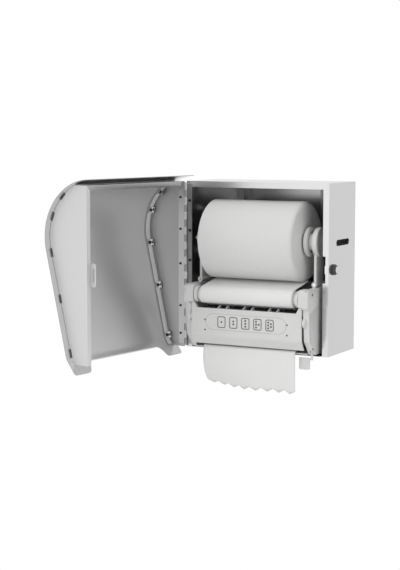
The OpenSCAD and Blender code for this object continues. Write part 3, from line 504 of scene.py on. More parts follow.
def opaque(base, share=1.0):
    """A share of a colour, with its alpha."""
    return (*(share * part for part in base), 1.0)


def shaded(tree, base, mask, darkest, **reach):
    """Base colour that a mask darkens a little."""
    mask = between(tree, mask, 0.0, 1.0, **reach)
    return mixed(tree, mask, opaque(base, darkest), opaque(base))


def bumped(tree, height, strength, depth):
    """Normal of a skin that a height mask raises."""
    bump = add_node(tree, "ShaderNodeBump", Height=height, Strength=strength, Distance=depth)
    return bump.outputs["Normal"]


def stretched(tree, vector, scale):
    """Coordinates drawn out to different lengths along each axis."""
    settings = {"operation": "MULTIPLY"}
    return add_node(tree, "ShaderNodeVectorMath", vector, scale, settings=settings).outputs["Vector"]


def clouds(tree, vector, scale, **settings):
    """Noise mask."""
    node = add_node(tree, "ShaderNodeTexNoise", Vector=vector, Scale=scale, **settings)
    return node.outputs["Fac"]


def effect_group(name, scales, outputs, draw):
    """A shader effect that several finishes share."""
    tree = bpy.data.node_groups.new(name, "ShaderNodeTree")
    tree.interface.new_socket(name="Vector", in_out="INPUT", socket_type="NodeSocketVector")
    for way, labels in (("INPUT", scales), ("OUTPUT", outputs)):
        for label in labels:
            tree.interface.new_socket(name=label, in_out=way, socket_type="NodeSocketFloat")
    entry = tree.nodes.new("NodeGroupInput")
    leave = tree.nodes.new("NodeGroupOutput")
    feed(leave, **draw(tree, entry.outputs))


def draw_brushing(tree, entry):
    """Fine upright lines and slow, cloudy hand marks."""
    upright = stretched(tree, entry["Vector"], LINE_STRETCH)
    slow = stretched(tree, entry["Vector"], CLOUD_STRETCH)
    return {
        "Lines": clouds(tree, upright, entry["Fineness"], Detail=3.0, Roughness=0.6),
        "Marks": clouds(tree, slow, entry["Cloud"], Detail=4.0, Roughness=0.55),
    }


def draw_moulding(tree, entry):
    """Fine pebble of a moulded skin and faint flow clouds."""
    return {
        "Pebble": clouds(tree, entry["Vector"], entry["Fineness"], Detail=2.0),
        "Clouds": clouds(tree, entry["Vector"], entry["Cloud"], Detail=3.0),
    }


def draw_paper(tree, entry):
    """Pressed dimples and loose fibres of towel paper."""
    where = entry["Vector"]
    dimples = add_node(tree, "ShaderNodeTexVoronoi", settings={"feature": "SMOOTH_F1"})
    feed(dimples, Vector=where, Scale=entry["Dimples"], Smoothness=0.7)
    loose = stretched(tree, where, FIBRE_STRETCH)
    return {
        "Dimples": dimples.outputs["Distance"],
        "Fibres": clouds(tree, loose, entry["Fibres"], Detail=5.0, Roughness=0.65),
    }


def effects():
    """The shared effects, built once."""
    groups = bpy.data.node_groups
    if "Brushing" not in groups:
        effect_group("Brushing", ("Fineness", "Cloud"), ("Lines", "Marks"), draw_brushing)
        effect_group("Moulding", ("Fineness", "Cloud"), ("Pebble", "Clouds"), draw_moulding)
        effect_group("Paper", ("Dimples", "Fibres"), ("Dimples", "Fibres"), draw_paper)
    return groups


def start_finish(name):
    """Empty finish with its shader and Object coordinates."""
    material = bpy.data.materials.new(name)
    material.use_nodes = True
    tree = material.node_tree
    shader = tree.nodes["Principled BSDF"]
    where = tree.nodes.new("ShaderNodeTexCoord").outputs["Object"]
    return material, tree, shader, where


def place_effect(tree, name, where, **scales):
    """A shared effect placed in a finish with its own scales."""
    settings = {"node_tree": effects()[name]}
    return add_node(tree, "ShaderNodeGroup", settings=settings, Vector=where, **scales).outputs


def metal(name, base, rough, spread, fineness, cloud, grain, darkest=0.9):
    """Brushed or plain metal."""
    material, tree, shader, where = start_finish(name)
    mask = place_effect(tree, "Brushing", where, Fineness=fineness, Cloud=cloud)
    lines = between(tree, mask["Lines"], rough - spread, rough + spread)
    marks = between(tree, mask["Marks"], -spread / 2, spread / 2)
    feed(
        shader,
        Metallic=1.0,
        Base_Color=shaded(tree, base, mask["Marks"], darkest),
        Roughness=maths(tree, "ADD", lines, marks, clamp=True),
        Normal=bumped(tree, mask["Lines"], grain, GRAIN_DEPTH),
    )
    return material


def dull_and_shaded_inside(material, inner):
    """Gives the cabinet's sheet its darker inner side: partly a duller mill face, partly painted shade of the
    cabinet's inside.
    """
    tree = material.node_tree
    shader = tree.nodes["Principled BSDF"]
    where = tree.nodes["Texture Coordinate"].outputs["Object"]
    axes = add_node(tree, "ShaderNodeSeparateXYZ", Vector=where).outputs
    half_wall = looks().sheet.thickness / 2
    middle = (CABINET_LOW + CABINET_HIGH) / 2
    reach = (CABINET_HIGH - CABINET_LOW) / 2 - Vector([half_wall] * 3)
    # Mask of the cabinet's inner faces, which get the darker colour that is partly painted shade
    across, deep, up = (maths(tree, "COMPARE", *parts) for parts in zip(axes, middle, reach))
    mask = maths(tree, "MULTIPLY", maths(tree, "MULTIPLY", across, deep), up)
    outer = shader.inputs["Base Color"].links[0].from_socket
    feed(shader, Base_Color=mixed(tree, mask, outer, opaque(inner)))
    return material


def moulded(name, base, rough, fineness, grain, darkest=0.96, metallic=0.0):
    """Moulded plastic or rubber, or a dull coat that is part metal, pale to paint a highlight."""
    material, tree, shader, where = start_finish(name)
    mask = place_effect(tree, "Moulding", where, Fineness=fineness, Cloud=MOULD_CLOUD)
    feed(
        shader,
        Metallic=metallic,
        Base_Color=shaded(tree, base, mask["Clouds"], darkest),
        Roughness=between(tree, mask["Clouds"], rough - MOULD_SPREAD, rough + MOULD_SPREAD),
        Normal=bumped(tree, mask["Pebble"], grain, GRAIN_DEPTH),
    )
    return material


def towel_finish(name, base, dimples, depth):
    """Pressed towel paper."""
    material, tree, shader, where = start_finish(name)
    mask = place_effect(tree, "Paper", where, Dimples=dimples, Fibres=FIBRE_FINENESS)
    height = maths(tree, "MULTIPLY_ADD", mask["Fibres"], FIBRE_HEIGHT, mask["Dimples"])
    feed(
        shader,
        Base_Color=shaded(tree, base, mask["Fibres"], darkest=0.955, start=0.35, stop=0.65),
        Roughness=0.92,
        Specular_IOR_Level=0.2,
        Sheen_Weight=0.12,
        Normal=bumped(tree, height, strength=0.35, depth=depth),
    )
    return material


SATIN = {"spread": 0.006, "fineness": 900.0, "cloud": 5.0, "grain": 0.006, "darkest": 0.97}
BRUSHED = {**SATIN, "rough": 0.46, "spread": 0.01, "grain": 0.01}
SMOOTH = {"rough": 0.5, "fineness": 1500.0, "grain": 0.05}
METALS = {
    "steel_sheet": {"rough": 0.22, **SATIN},
    "wrap": {"rough": 0.30, **SATIN},
    "lining": {"rough": 0.34, **SATIN},
    # Cheeks share one brushed finish; only their tones differ, as painted light and shade
    "cheek": BRUSHED,
    "hinge_side": BRUSHED,
    # Near-black lock steel, its darkness a painted reflection
    "lock": {"rough": 0.20, "spread": 0.03, "fineness": 900.0, "cloud": 12.0, "grain": 0.04},
    "dull_steel": {"rough": 0.38, "spread": 0.06, "fineness": 700.0, "cloud": 9.0, "grain": 0.12},
    "bright_steel": {"rough": 0.14, "spread": 0.04, "fineness": 1200.0, "cloud": 12.0, "grain": 0.04},
    "blackened": {"rough": 0.42, "spread": 0.08, "fineness": 800.0, "cloud": 20.0, "grain": 0.10},
}
MOULDINGS = {
    # Pale coat whose brightness paints the highlight on the edging and hem
    "zinc": {"rough": 0.40, "fineness": 1200.0, "grain": 0.05, "darkest": 0.92, "metallic": 0.1},
    "white_plastic": {**SMOOTH, "rough": 0.44},
    "grip_rubber": {"rough": 0.72, "fineness": 1100.0, "grain": 0.35, "darkest": 0.85},
    "card_core": {"rough": 0.85, "fineness": 900.0, "grain": 0.3, "darkest": 0.85},
    "marks": SMOOTH,
    "field": SMOOTH,
}
# The towel's lighter base than the roll's is painted light
PAPERS = {
    "towel_paper": {"dimples": 260.0, "depth": 0.0016},
    "towel": {"dimples": 420.0, "depth": 0.0005},
}
FINISHES = {}


def make_finishes():
    """Every finish of the object, under its colour's name, and the cabinet's one with a darker inner side, partly
    duller sheet and partly painted shade.
    """
    tone = looks().finish
    for make, table in ((metal, METALS), (moulded, MOULDINGS), (towel_finish, PAPERS)):
        for key, settings in table.items():
            name = tone.bl_rna.properties[key].name
            FINISHES[key] = make(name, getattr(tone, key), **settings)
    cabinet = metal("Cabinet sheet", tone.steel_sheet, **METALS["steel_sheet"])
    FINISHES["cabinet"] = dull_and_shaded_inside(cabinet, tone.inside)


# Finishes of CAD nodes that differ from their slot's, and edges of the nodes

DARK_SCREWS = ("leaf_screws", "leaf_rivets", "clip_screws", "cover_screws", "side_cover_screws")
NODE_FINISH = {
    **dict.fromkeys(DARK_SCREWS, "blackened"),
    "hinge_leaf_cover": "steel_sheet",
    "hinge_leaf_fixed": "dull_steel",
    "latch_tongue": "cheek",
    "free_cheek": "cheek",
    "hinge_cheek": "hinge_side",
    "cabinet_shell": "cabinet",
    "lock_barrel": "lock",
}
NODE_EDGE = 0.00025
EDGE_OF = {
    **dict.fromkeys(("left_side_cover", "right_side_cover", "left_arm", "right_arm"), 0.0012),
    **dict.fromkeys(("left_frame", "right_frame", "left_hub", "right_hub"), 0.0010),
    "front_cover": 0.0009,
    "feed_lever": 0.0006,
    "lock_barrel": 0.0006,
    "lock_plug": 0.0004,
}
FOLDED_SHEET = "cabinet_shell"
PLAIN_EDGES = ("return_spring", "lever_spring")
REMODELLED = ("front_wrap", "towel_roll", "paper_web", "towel_tail")


def finish_edges(node):
    """Small rounded edges on a CAD node, or clean folds on the folded sheet."""
    part = NODES[node]
    weld = part.modifiers.new("Weld", "WELD")
    weld.merge_threshold = MERGE_GAP
    if node == FOLDED_SHEET:
        part.modifiers.new("Folds", "EDGE_SPLIT")
    else:
        soften_edges(part, EDGE_OF.get(node, NODE_EDGE))


def dress_frame():
    """Finishes of the CAD nodes that stay in view."""
    for node, part in NODES.items():
        if node in REMODELLED:
            continue
        part.data.materials.clear()
        part.data.materials.append(FINISHES[NODE_FINISH.get(node, SLOT_OF[node])])
        part.data.shade_smooth()
        if node not in PLAIN_EDGES:
            finish_edges(node)


# Cover

CURVE_STEPS = 48
FRONT_STEPS = 12
KNEE_STEPS = 10
CHIN_STEPS = 3
NOTCH_COLUMNS = 6
FOOT_STEPS = 8
FOOT_ROWS = 4
HEM_STEPS = 16
HEM_COLUMNS = 8
EDGING_COLUMNS = 6

SHEET_EDGE = 0.0003
SHEET_FOLD = math.radians(50)
SMALL_EDGE = 0.0002

# Air between the edging and the dark strip under it that paints the shade beside it
SHADE_STRIP_GAP = 0.00002


def curve_centre(size):
    """Centre of the closed cover's rounded top."""
    return Vector((0, HINGE.y + size.curve_back, FOOT_Z + size.curve_height))


def cover_line(mesh, size, inset, top_angle, low):
    """Side line of the closed cover, inside its front skin by `inset`, down to the height `low`."""
    radius = size.radius - inset
    start = curve_centre(size) + radius * Vector((0, -math.cos(top_angle), math.sin(top_angle)))
    pen = Pen(mesh, start, heading_of(math.pi + QUARTER_TURN - top_angle), (1, 0, 0))
    pen.bend(radius, top_angle + size.lean, CURVE_STEPS)
    knee_turn = size.chin - size.lean
    drop = size.curve_height - size.radius * math.sin(size.lean) - size.knee_height
    knee_length = size.knee_radius * math.tan(knee_turn / 2)
    pen.forward(drop / math.cos(size.lean) - knee_length, FRONT_STEPS)
    pen.bend(size.knee_radius - inset, knee_turn, KNEE_STEPS)
    drop = pen.tip.co.z - FOOT_Z - low
    pen.forward(drop / math.cos(size.chin), CHIN_STEPS)
    return pen


def cover_strip(size, inset, top_angle, low, begin, widths):
    """Strip along the closed cover's side line, from `begin` across by the widths, and its pen."""
    mesh = bmesh.new()
    pen = cover_line(mesh, size, inset, top_angle, low)
    line = list(mesh.edges)
    move(mesh, (begin, 0, 0))
    widen(mesh, line, widths)
    return mesh, pen


def swing_open(mesh):
    """Turns what was drawn on the closed cover to where the cover stands open."""
    turn = Matrix.Rotation(-OPEN_ANGLE, 4, "Z")
    swing = Matrix.Translation(HINGE) @ turn @ Matrix.Translation(-HINGE)
    bmesh.ops.transform(mesh, matrix=swing, verts=mesh.verts)


def arc(radius, angle):
    """How far along and aside the points of a foot's corner lie."""
    turns = [angle * k / FOOT_STEPS for k in range(FOOT_STEPS + 1)]
    return [(radius * math.sin(turn), radius * (1 - math.cos(turn))) for turn in turns]


def foot_outline(size, end):
    """Places across the sheet's half, out to `end`, each with the low edge's drop below the notch."""
    deep = (size.foot_drop + size.notch_height) / math.cos(size.chin)
    lean = math.atan2(deep, size.foot_flare)
    tip = end - size.foot_width
    root = tip - size.foot_flare
    start = root - size.notch_corner * math.tan(lean / 2)
    toe = tip + size.foot_corner * math.tan(lean / 2)
    heel = end - size.heel_corner
    places = [(start * k / NOTCH_COLUMNS, 0.0) for k in range(NOTCH_COLUMNS)]
    places += [(start + along, aside) for along, aside in arc(size.notch_corner, lean)]
    places += [(toe - along, deep - aside) for along, aside in reversed(arc(size.foot_corner, lean))]
    places += [(heel + along, deep - aside) for along, aside in arc(size.heel_corner, QUARTER_TURN)]
    return start, places


def nearest(table, x):
    """Value of the table's entry closest to x."""
    return table[min(table, key=lambda key: abs(key - x))]


def build_wrap():
    """Curved front sheet of the cover, with its two feet."""
    size = looks().sheet
    left = HINGE.x - size.overhang
    right = CABINET_HIGH.x + size.overhang
    start, places = foot_outline(size, right)
    _, mirrored = foot_outline(size, -left)
    columns = [(-x, drop) for x, drop in reversed(mirrored[1:])] + places
    drops = dict(columns)
    widths = [b - a for (a, _), (b, _) in zip(columns, columns[1:])]
    mesh, pen = cover_strip(size, 0.0, size.top_angle, size.notch_height, left, widths)
    low = pen.tip.co.z
    feet = border(mesh, lambda co: abs(co.z - low) < MERGE_GAP and abs(co.x) > start - MERGE_GAP)
    for _ in range(FOOT_ROWS):
        feet = pull_row(mesh, feet, lambda x: pen.heading * nearest(drops, x) / FOOT_ROWS)
    merge(mesh)
    face_away(mesh, curve_centre(size))
    piece = make_piece("cover_front_sheet", mesh, "cover", "wrap", ["front_wrap"])
    wall = add_wall(piece, size.thickness)
    # The inner face gets the lighter tone that paints light inside the cover, the rim mill steel
    for name in ("lining", "dull_steel"):
        piece.data.materials.append(FINISHES[name])
    wall.material_offset = 1
    wall.material_offset_rim = 2
    soften_edges(piece, SHEET_EDGE, SHEET_FOLD)
    build_hem(size, start)


def build_hem(size, reach):
    """Rolled hem along the notch's straight edge, on the middle of the sheet."""
    mesh = bmesh.new()
    pen = cover_line(mesh, size, size.thickness / 2, size.top_angle, size.notch_height)
    begin = pen.tip.co + Vector((-reach, 0, size.hem_radius))
    mesh.clear()
    pen = Pen(mesh, begin, (0, -1, 0), (1, 0, 0))
    pen.bend(size.hem_radius, FULL_TURN, HEM_STEPS)
    widen(mesh, list(mesh.edges), [2 * reach / HEM_COLUMNS] * HEM_COLUMNS)
    merge(mesh)
    bmesh.ops.holes_fill(mesh, edges=mesh.edges, sides=0)
    close_up(mesh)
    # The hem's pale coat paints its bright highlight
    piece = make_piece("cover_hem", mesh, "cover", "zinc")
    soften_edges(piece, SMALL_EDGE)


def edging_strips(size, inset, margin):
    """Strips along both cheeks' curved flanges, wider than the edging by a margin on each side."""
    top_angle = math.asin((size.edging_top - size.curve_height) / (size.radius - inset))
    widths = [(size.edging_width + 2 * margin) / EDGING_COLUMNS] * EDGING_COLUMNS
    meshes = []
    for begin in (HINGE.x + size.edging_in, CABINET_HIGH.x - size.edging_in - size.edging_width):
        mesh, _ = cover_strip(size, inset, top_angle, size.edging_low, begin - margin, widths)
        face_away(mesh, curve_centre(size))
        meshes.append(mesh)
    return gather(meshes)


def build_edging():
    """Pale edging on both cheeks' curved flanges, painting their highlight, on a wider dark strip that paints the
    shade beside it.
    """
    size = looks().sheet
    # Dark strip that paints the shade gaps beside the edging
    shade_strip = edging_strips(size, size.flange_inset, size.shade_strip_margin)
    piece = make_piece("edging_seal", shade_strip, "cover", "blackened")
    add_wall(piece, size.shade_strip_thickness)
    inset = size.flange_inset + size.shade_strip_thickness + SHADE_STRIP_GAP
    edging = edging_strips(size, inset, 0.0)
    # The edging's pale coat paints the flange's highlight
    piece = make_piece("cheek_edging", edging, "cover", "zinc")
    add_wall(piece, size.edging_thickness)


def edge_place(size, height):
    """Place on the closed cheek's curved edge at a height, and the edge's lean from upright."""
    radius = size.radius - size.edge_inset
    rise = height - size.curve_height
    if rise > -radius * math.sin(size.lean):
        angle = math.asin(rise / radius)
        depth = radius * math.cos(angle) - size.curve_back
    else:
        angle = -size.lean
        tangent = radius * math.cos(size.lean) - size.curve_back
        depth = tangent + (rise + radius * math.sin(size.lean)) * math.tan(size.lean)
    return Vector((0, HINGE.y - depth, FOOT_Z + height)), angle


def slot_shade_liner(size, side, height):
    """One dark block that paints the shade in a slot, from the cheek's edge inwards."""
    place, angle = edge_place(size, height)
    mesh = bmesh.new()
    bmesh.ops.create_cube(mesh, size=1.0)
    bmesh.ops.scale(mesh, verts=mesh.verts, vec=tuple(size.liner))
    move(mesh, (0, size.liner[1] / 2, 0))
    bmesh.ops.rotate(mesh, verts=mesh.verts, matrix=Matrix.Rotation(-angle, 3, "X"))
    move(mesh, place + Vector((side, 0, 0)))
    return mesh


def build_shade_liners():
    """Dark blocks that paint the shade in the slots along both cheeks' curved edges."""
    size = looks().sheet
    sides = (HINGE.x + size.thickness / 2, CABINET_HIGH.x - size.thickness / 2)
    mesh = gather(slot_shade_liner(size, side, height) for side in sides for height in size.slot_heights)
    piece = make_piece("slot_liners", mesh, "cover", "grip_rubber")
    soften_edges(piece, SMALL_EDGE)


# Roll and towel

ROUND_STEPS = 6
ROLL_COLUMNS = 48
ROLL_STEPS = 144

# Slow unevenness of the roll's outer winding
SWELL = 0.0006
SWELL_MIDDLE = 0.5
SWELL_ALONG = 9
SWELL_ROUND = 22

RUN_STEPS = 12
SHORT_RUN_STEPS = 8
IDLER_STEPS = 40
DRUM_STEPS = 64
BEND_ROWS = 10
HANG_ROWS = 36
TOOTH_COLUMNS = 6

# Heading of the towel's left edge after the bend and the turn to its right edge, in degrees
DROP_HEADING = -99
DROP_TURN = 8

# How the curl gathers across and down the hanging part
CURL_ACROSS = 0.8
CURL_DOWN = 1.3

# Slow wave across the hanging part
WAVE_ANGLE = math.radians(5)
WAVES = 1.3
WAVE_START = 0.15


def ridge_ends(points, depth):
    """Steps every other winding of a roll's end back."""
    inward = -math.copysign(depth, points[0].co.x)
    for point in points[1:-1:2]:
        point.co.x += inward


def swell_roll(mesh, centre, skin):
    """Makes what lies outside the radius `skin` a little uneven."""
    for vertex in mesh.verts:
        arm = vertex.co - centre
        arm.x = 0
        if arm.length > skin:
            place = Vector((vertex.co.x * SWELL_ALONG, arm.y * SWELL_ROUND, arm.z * SWELL_ROUND))
            vertex.co += arm.normalized() * (noise.noise(place) - SWELL_MIDDLE) * SWELL


def build_roll():
    """Towel roll with soft edges and windings on its ends."""
    size = looks().paper
    centre = centre_of("roll_turn")
    bore = CORE_RADIUS + size.clearance
    face = ROLL_RADIUS - bore
    mesh = bmesh.new()
    start = centre + Vector((-TOWEL_WIDTH / 2, 0, bore))
    pen = Pen(mesh, start, (0, 0, 1), (0, -1, 0))
    pen.forward(face - size.left_round, 2 * size.rings)
    left_end = list(pen.points)
    pen.bend(size.left_round, -QUARTER_TURN, ROUND_STEPS)
    pen.forward(TOWEL_WIDTH - size.left_round - size.right_round, ROLL_COLUMNS)
    pen.bend(size.right_round, -QUARTER_TURN, ROUND_STEPS)
    first = len(pen.points) - 1
    pen.forward(face - size.right_round, 2 * size.rings)
    ridge_ends(left_end, size.ring_depth)
    ridge_ends(pen.points[first:], size.ring_depth)
    mesh.edges.new((pen.points[-1], pen.points[0]))
    bmesh.ops.spin(
        mesh,
        geom=list(mesh.verts) + list(mesh.edges),
        cent=centre,
        axis=(1, 0, 0),
        angle=FULL_TURN,
        steps=ROLL_STEPS,
        use_merge=True,
    )
    close_up(mesh)
    swell_roll(mesh, centre, ROLL_RADIUS - size.right_round)
    make_piece("paper_roll", mesh, "roll", "towel_paper", ["towel_roll"])


def tangent_angle(centre, target, reach):
    """Direction from a circle's centre to a target, and how far beside it a tangent touches."""
    away = target - centre
    return math.atan2(away.z, away.y), math.acos(min(1.0, reach / math.hypot(away.y, away.z)))


def gap_to(pen, target):
    """Distance from a pen's tip to a target, in the plane across X."""
    return math.hypot(target.y - pen.tip.co.y, target.z - pen.tip.co.z)


def towel_line(mesh, size):
    """The towel's side line from the roll over the idler and round the drum to the outlet."""
    roll, idler, drum = (centre_of(name) for name in ("roll_turn", "idler_turn", "drum_turn"))
    outlet = Vector((0, size.outlet_y, FOOT_Z + size.outlet_z))
    lift = size.clearance + size.thickness / 2
    roll_r, idler_r, drum_r = (r + lift for r in (ROLL_RADIUS, IDLER_RADIUS, DRUM_RADIUS))
    aim, spread = tangent_angle(roll, idler, roll_r + idler_r)
    over_idler = aim + spread
    aim, spread = tangent_angle(idler, drum, idler_r + drum_r)
    under_idler = aim - spread
    aim, spread = tangent_angle(drum, outlet, drum_r)
    off_drum = aim + spread
    start = roll + roll_r * heading_of(over_idler)
    start.x = -TOWEL_WIDTH / 2
    first = idler + idler_r * heading_of(over_idler + math.pi)
    run = Vector((0, first.y - start.y, first.z - start.z))
    pen = Pen(mesh, start, run, (1, 0, 0))
    pen.forward(run.length, RUN_STEPS)
    pen.bend(idler_r, (under_idler - over_idler + math.pi) % FULL_TURN, IDLER_STEPS)
    leave = drum + drum_r * heading_of(under_idler + math.pi)
    pen.forward(gap_to(pen, leave), SHORT_RUN_STEPS)
    pen.bend(drum_r, -((under_idler + math.pi - off_drum) % FULL_TURN), DRUM_STEPS)
    pen.forward(gap_to(pen, outlet), SHORT_RUN_STEPS)
    return pen


def hang_heading(size, x, share):
    """Heading of the hanging part at x, a share of the way down."""
    across = x / TOWEL_WIDTH + 0.5
    upper = math.radians(DROP_HEADING + DROP_TURN * across)
    lower = size.curl_left + (size.curl_right - size.curl_left) * across**CURL_ACROSS
    wave = WAVE_ANGLE * share * math.sin(FULL_TURN * (WAVES * across + WAVE_START))
    return upper + (lower - upper) * share**CURL_DOWN + wave


def cut_teeth(size, row):
    """Draws the last row's points down to the cut edge's teeth."""
    pitch = TOWEL_WIDTH / size.teeth
    for vertex in {v for edge in row for v in edge.verts}:
        along = ((vertex.co.x + TOWEL_WIDTH / 2) / pitch) % 1.0
        point = 1 - abs(2 * along - 1)
        vertex.co += heading_of(hang_heading(size, vertex.co.x, 1)) * size.tooth_height * point


def build_towel():
    """One towel: off the roll, over the idler, round the drum and out over the notched edge."""
    size = looks().paper
    columns = size.teeth * TOOTH_COLUMNS
    mesh = bmesh.new()
    pen = towel_line(mesh, size)
    widen(mesh, list(mesh.edges), [TOWEL_WIDTH / columns] * columns)
    row = border(mesh, lambda co: (co - pen.tip.co).yz.length < MERGE_GAP)
    leaving = math.atan2(pen.heading.z, pen.heading.y)

    def bend_turn(x):
        return (hang_heading(size, x, 0) - leaving) % FULL_TURN

    bend_length = size.bend_radius * bend_turn(0)
    for k in range(BEND_ROWS):
        share = (k + 0.5) / BEND_ROWS
        step = bend_length / BEND_ROWS
        row = pull_row(mesh, row, lambda x: heading_of(leaving + bend_turn(x) * share) * step)
    for k in range(HANG_ROWS):
        share = (k + 0.5) / HANG_ROWS
        step = size.tail_length / HANG_ROWS
        row = pull_row(mesh, row, lambda x: heading_of(hang_heading(size, x, share)) * step)
    cut_teeth(size, row)
    bmesh.ops.recalc_face_normals(mesh, faces=mesh.faces)
    replaced = ["paper_web", "towel_tail"]
    piece = make_piece("towel", mesh, "cabinet", "towel", replaced)
    add_wall(piece, size.thickness, BOTH_WAYS)


# Panel marks

CORNER_STEPS = 8
ROUND_PROFILE = 0.5
DOT_STEPS = 20
DOTS_IN_COLUMN = 3

# A tile's corner and its dots' pitches across and up, as parts of the tile's sides
CORNER_PART = 5
ACROSS_PART = 3
UP_PART = 4

# Radius of a dot in line widths, and of the field's ends in field heights
DOT_SIZE = 1.3
FIELD_ROUND = 0.499

# Air between a mark and the panel
MARK_GAP = 0.00005
MARK_EDGE = 0.0001


def stand_up(mesh, proud, middle):
    """Gives a flat mark its height and puts it on the panel."""
    grown = bmesh.ops.extrude_face_region(mesh, geom=list(mesh.faces))
    bmesh.ops.translate(mesh, verts=added(grown, BMVert), vec=(0, 0, proud))
    bmesh.ops.rotate(mesh, verts=mesh.verts, matrix=Matrix.Rotation(QUARTER_TURN, 3, "X"))
    move(mesh, middle)
    close_up(mesh)
    return mesh


def raised_outline(size, width, height, corner, proud, middle):
    """Mesh of a rounded frame that stands proud of the panel's face."""
    mesh = bmesh.new()
    bmesh.ops.create_grid(mesh, x_segments=1, y_segments=1, size=0.5)
    bmesh.ops.scale(mesh, verts=mesh.verts, vec=(width, height, 1))
    bmesh.ops.bevel(
        mesh,
        geom=list(mesh.verts),
        offset=corner,
        offset_type="OFFSET",
        segments=CORNER_STEPS,
        profile=ROUND_PROFILE,
        affect="VERTICES",
        material=-1,
    )
    inner = list(mesh.faces)
    bmesh.ops.inset_region(
        mesh, faces=inner, thickness=size.line, use_boundary=True, use_even_offset=True
    )
    bmesh.ops.delete(mesh, geom=inner, context="FACES_ONLY")
    return stand_up(mesh, proud, middle)


def raised_dot(radius, proud, middle):
    """Mesh of a round dot that stands proud of the panel's face."""
    mesh = bmesh.new()
    bmesh.ops.create_circle(mesh, cap_ends=True, segments=DOT_STEPS, radius=radius)
    return stand_up(mesh, proud, middle)


def tile_marks(size, count, middle):
    """A plain tile with as many dots as its place in the row, up to three in a column."""
    corner = size.tile_width / CORNER_PART
    meshes = [raised_outline(size, size.tile_width, size.tile_height, corner, size.proud, middle)]
    columns = math.ceil(count / DOTS_IN_COLUMN)
    for dot in range(count):
        column, row = divmod(dot, DOTS_IN_COLUMN)
        rows = min(DOTS_IN_COLUMN, count - DOTS_IN_COLUMN * column)
        across = (column - (columns - 1) / 2) * size.tile_width / ACROSS_PART
        up = ((rows - 1) / 2 - row) * size.tile_height / UP_PART
        place = middle + Vector((across, 0, up))
        meshes.append(raised_dot(size.line * DOT_SIZE, size.proud, place))
    return meshes


def build_marks():
    """Row of plain numbered tiles and the faint field round them."""
    size = looks().panel
    face = Vector((0, PANEL_FRONT + size.bead + MARK_GAP, FOOT_Z + size.tile_middle))
    meshes = []
    for index in range(size.tiles):
        shift = (index - (size.tiles - 1) / 2) * size.tile_pitch
        meshes += tile_marks(size, index + 1, face + Vector((shift, 0, 0)))
    end = size.field_height * FIELD_ROUND
    field = raised_outline(size, size.field_length, size.field_height, end, size.proud / 2, face)
    marks = (("panel_tiles", gather(meshes), "marks"), ("panel_field", field, "field"))
    for name, mesh, finish in marks:
        piece = make_piece(name, mesh, "cabinet", finish)
        soften_edges(piece, MARK_EDGE)


# Stage

FLOOR_STEPS = 96
FLOOR_GREY = (0.9, 0.9, 0.9, 1)
WHITE = (1, 1, 1, 1)

# What the lamps look at
OBJECT_MIDDLE = (-0.05, -0.1, -0.05)


def add_camera(size):
    """Camera that looks at the open side from the right."""
    lens = bpy.data.cameras.new("Camera")
    lens.lens = size.lens
    camera = add_object("Camera", lens)
    camera.location = size.place
    camera.rotation_euler = (QUARTER_TURN - size.tilt, 0, size.azimuth)
    bpy.context.scene.camera = camera


def add_lamp(name, place, size, power, target=OBJECT_MIDDLE, mirrored=False):
    """Soft rectangular lamp that faces a point; metal shows it only if it is mirrored."""
    light = bpy.data.lights.new(name, "AREA")
    light.shape = "RECTANGLE"
    light.size, light.size_y = size
    light.energy = power
    lamp = add_object(name, light)
    lamp.location = place
    lamp.rotation_euler = (Vector(target) - Vector(place)).to_track_quat("-Z", "Y").to_euler()
    lamp.visible_glossy = mirrored


def add_lamps():
    """Soft lamps, and a small window that the cabinet's front rim mirrors."""
    rim = (CABINET_HIGH.x, CABINET_LOW.y, 0.0)
    add_lamp("Front softbox", (-1.1, -3.2, 1.05), size=(2.5, 3.0), power=33.0)
    add_lamp("Front window", (-1.0, -3.0, -0.22), size=(1.0, 1.05), power=1.5, target=rim, mirrored=True)
    add_lamp("Right softbox", (2.6, -1.2, 1.0), size=(2.4, 2.8), power=14.0)
    add_lamp("Top softbox", (0.0, -0.9, 2.2), size=(2.4, 1.6), power=8.0)


def seen_by_eye(tree):
    """One where a ray comes from the camera, off metal or through glass, zero for soft light."""
    path = tree.nodes.new("ShaderNodeLightPath").outputs
    seen = maths(tree, "ADD", path["Is Camera Ray"], path["Is Glossy Ray"], clamp=True)
    return maths(tree, "ADD", seen, path["Is Transmission Ray"], clamp=True)


def add_sky(soft):
    """White surroundings, dimmer as a source of soft light."""
    world = bpy.data.worlds.new("Studio")
    world.use_nodes = True
    tree = world.node_tree
    strength = between(tree, seen_by_eye(tree), soft, 1.0, start=0.0, stop=1.0)
    feed(tree.nodes["Background"], Color=WHITE, Strength=strength)
    bpy.context.scene.world = world


def floor_finish(size):
    """Pale matt floor that keeps the shadow near the object and goes over to white."""
    material, tree, shader, where = start_finish("Pale floor")
    feed(shader, Base_Color=FLOOR_GREY, Roughness=0.9, Specular_IOR_Level=0.0)
    level = stretched(tree, where, (1.0, 1.0, 0.0))
    reach = add_node(tree, "ShaderNodeVectorMath", level, settings={"operation": "LENGTH"})
    edge = size.shadow_radius
    far = between(tree, reach.outputs["Value"], 0.0, 1.0, start=edge / 2, stop=edge)
    mask = maths(tree, "MULTIPLY", far, seen_by_eye(tree))
    glow = add_node(tree, "ShaderNodeEmission", Strength=1.0).outputs["Emission"]
    mix = add_node(tree, "ShaderNodeMixShader", mask, shader.outputs["BSDF"], glow)
    feed(tree.nodes["Material Output"], Surface=mix.outputs["Shader"])
    return material


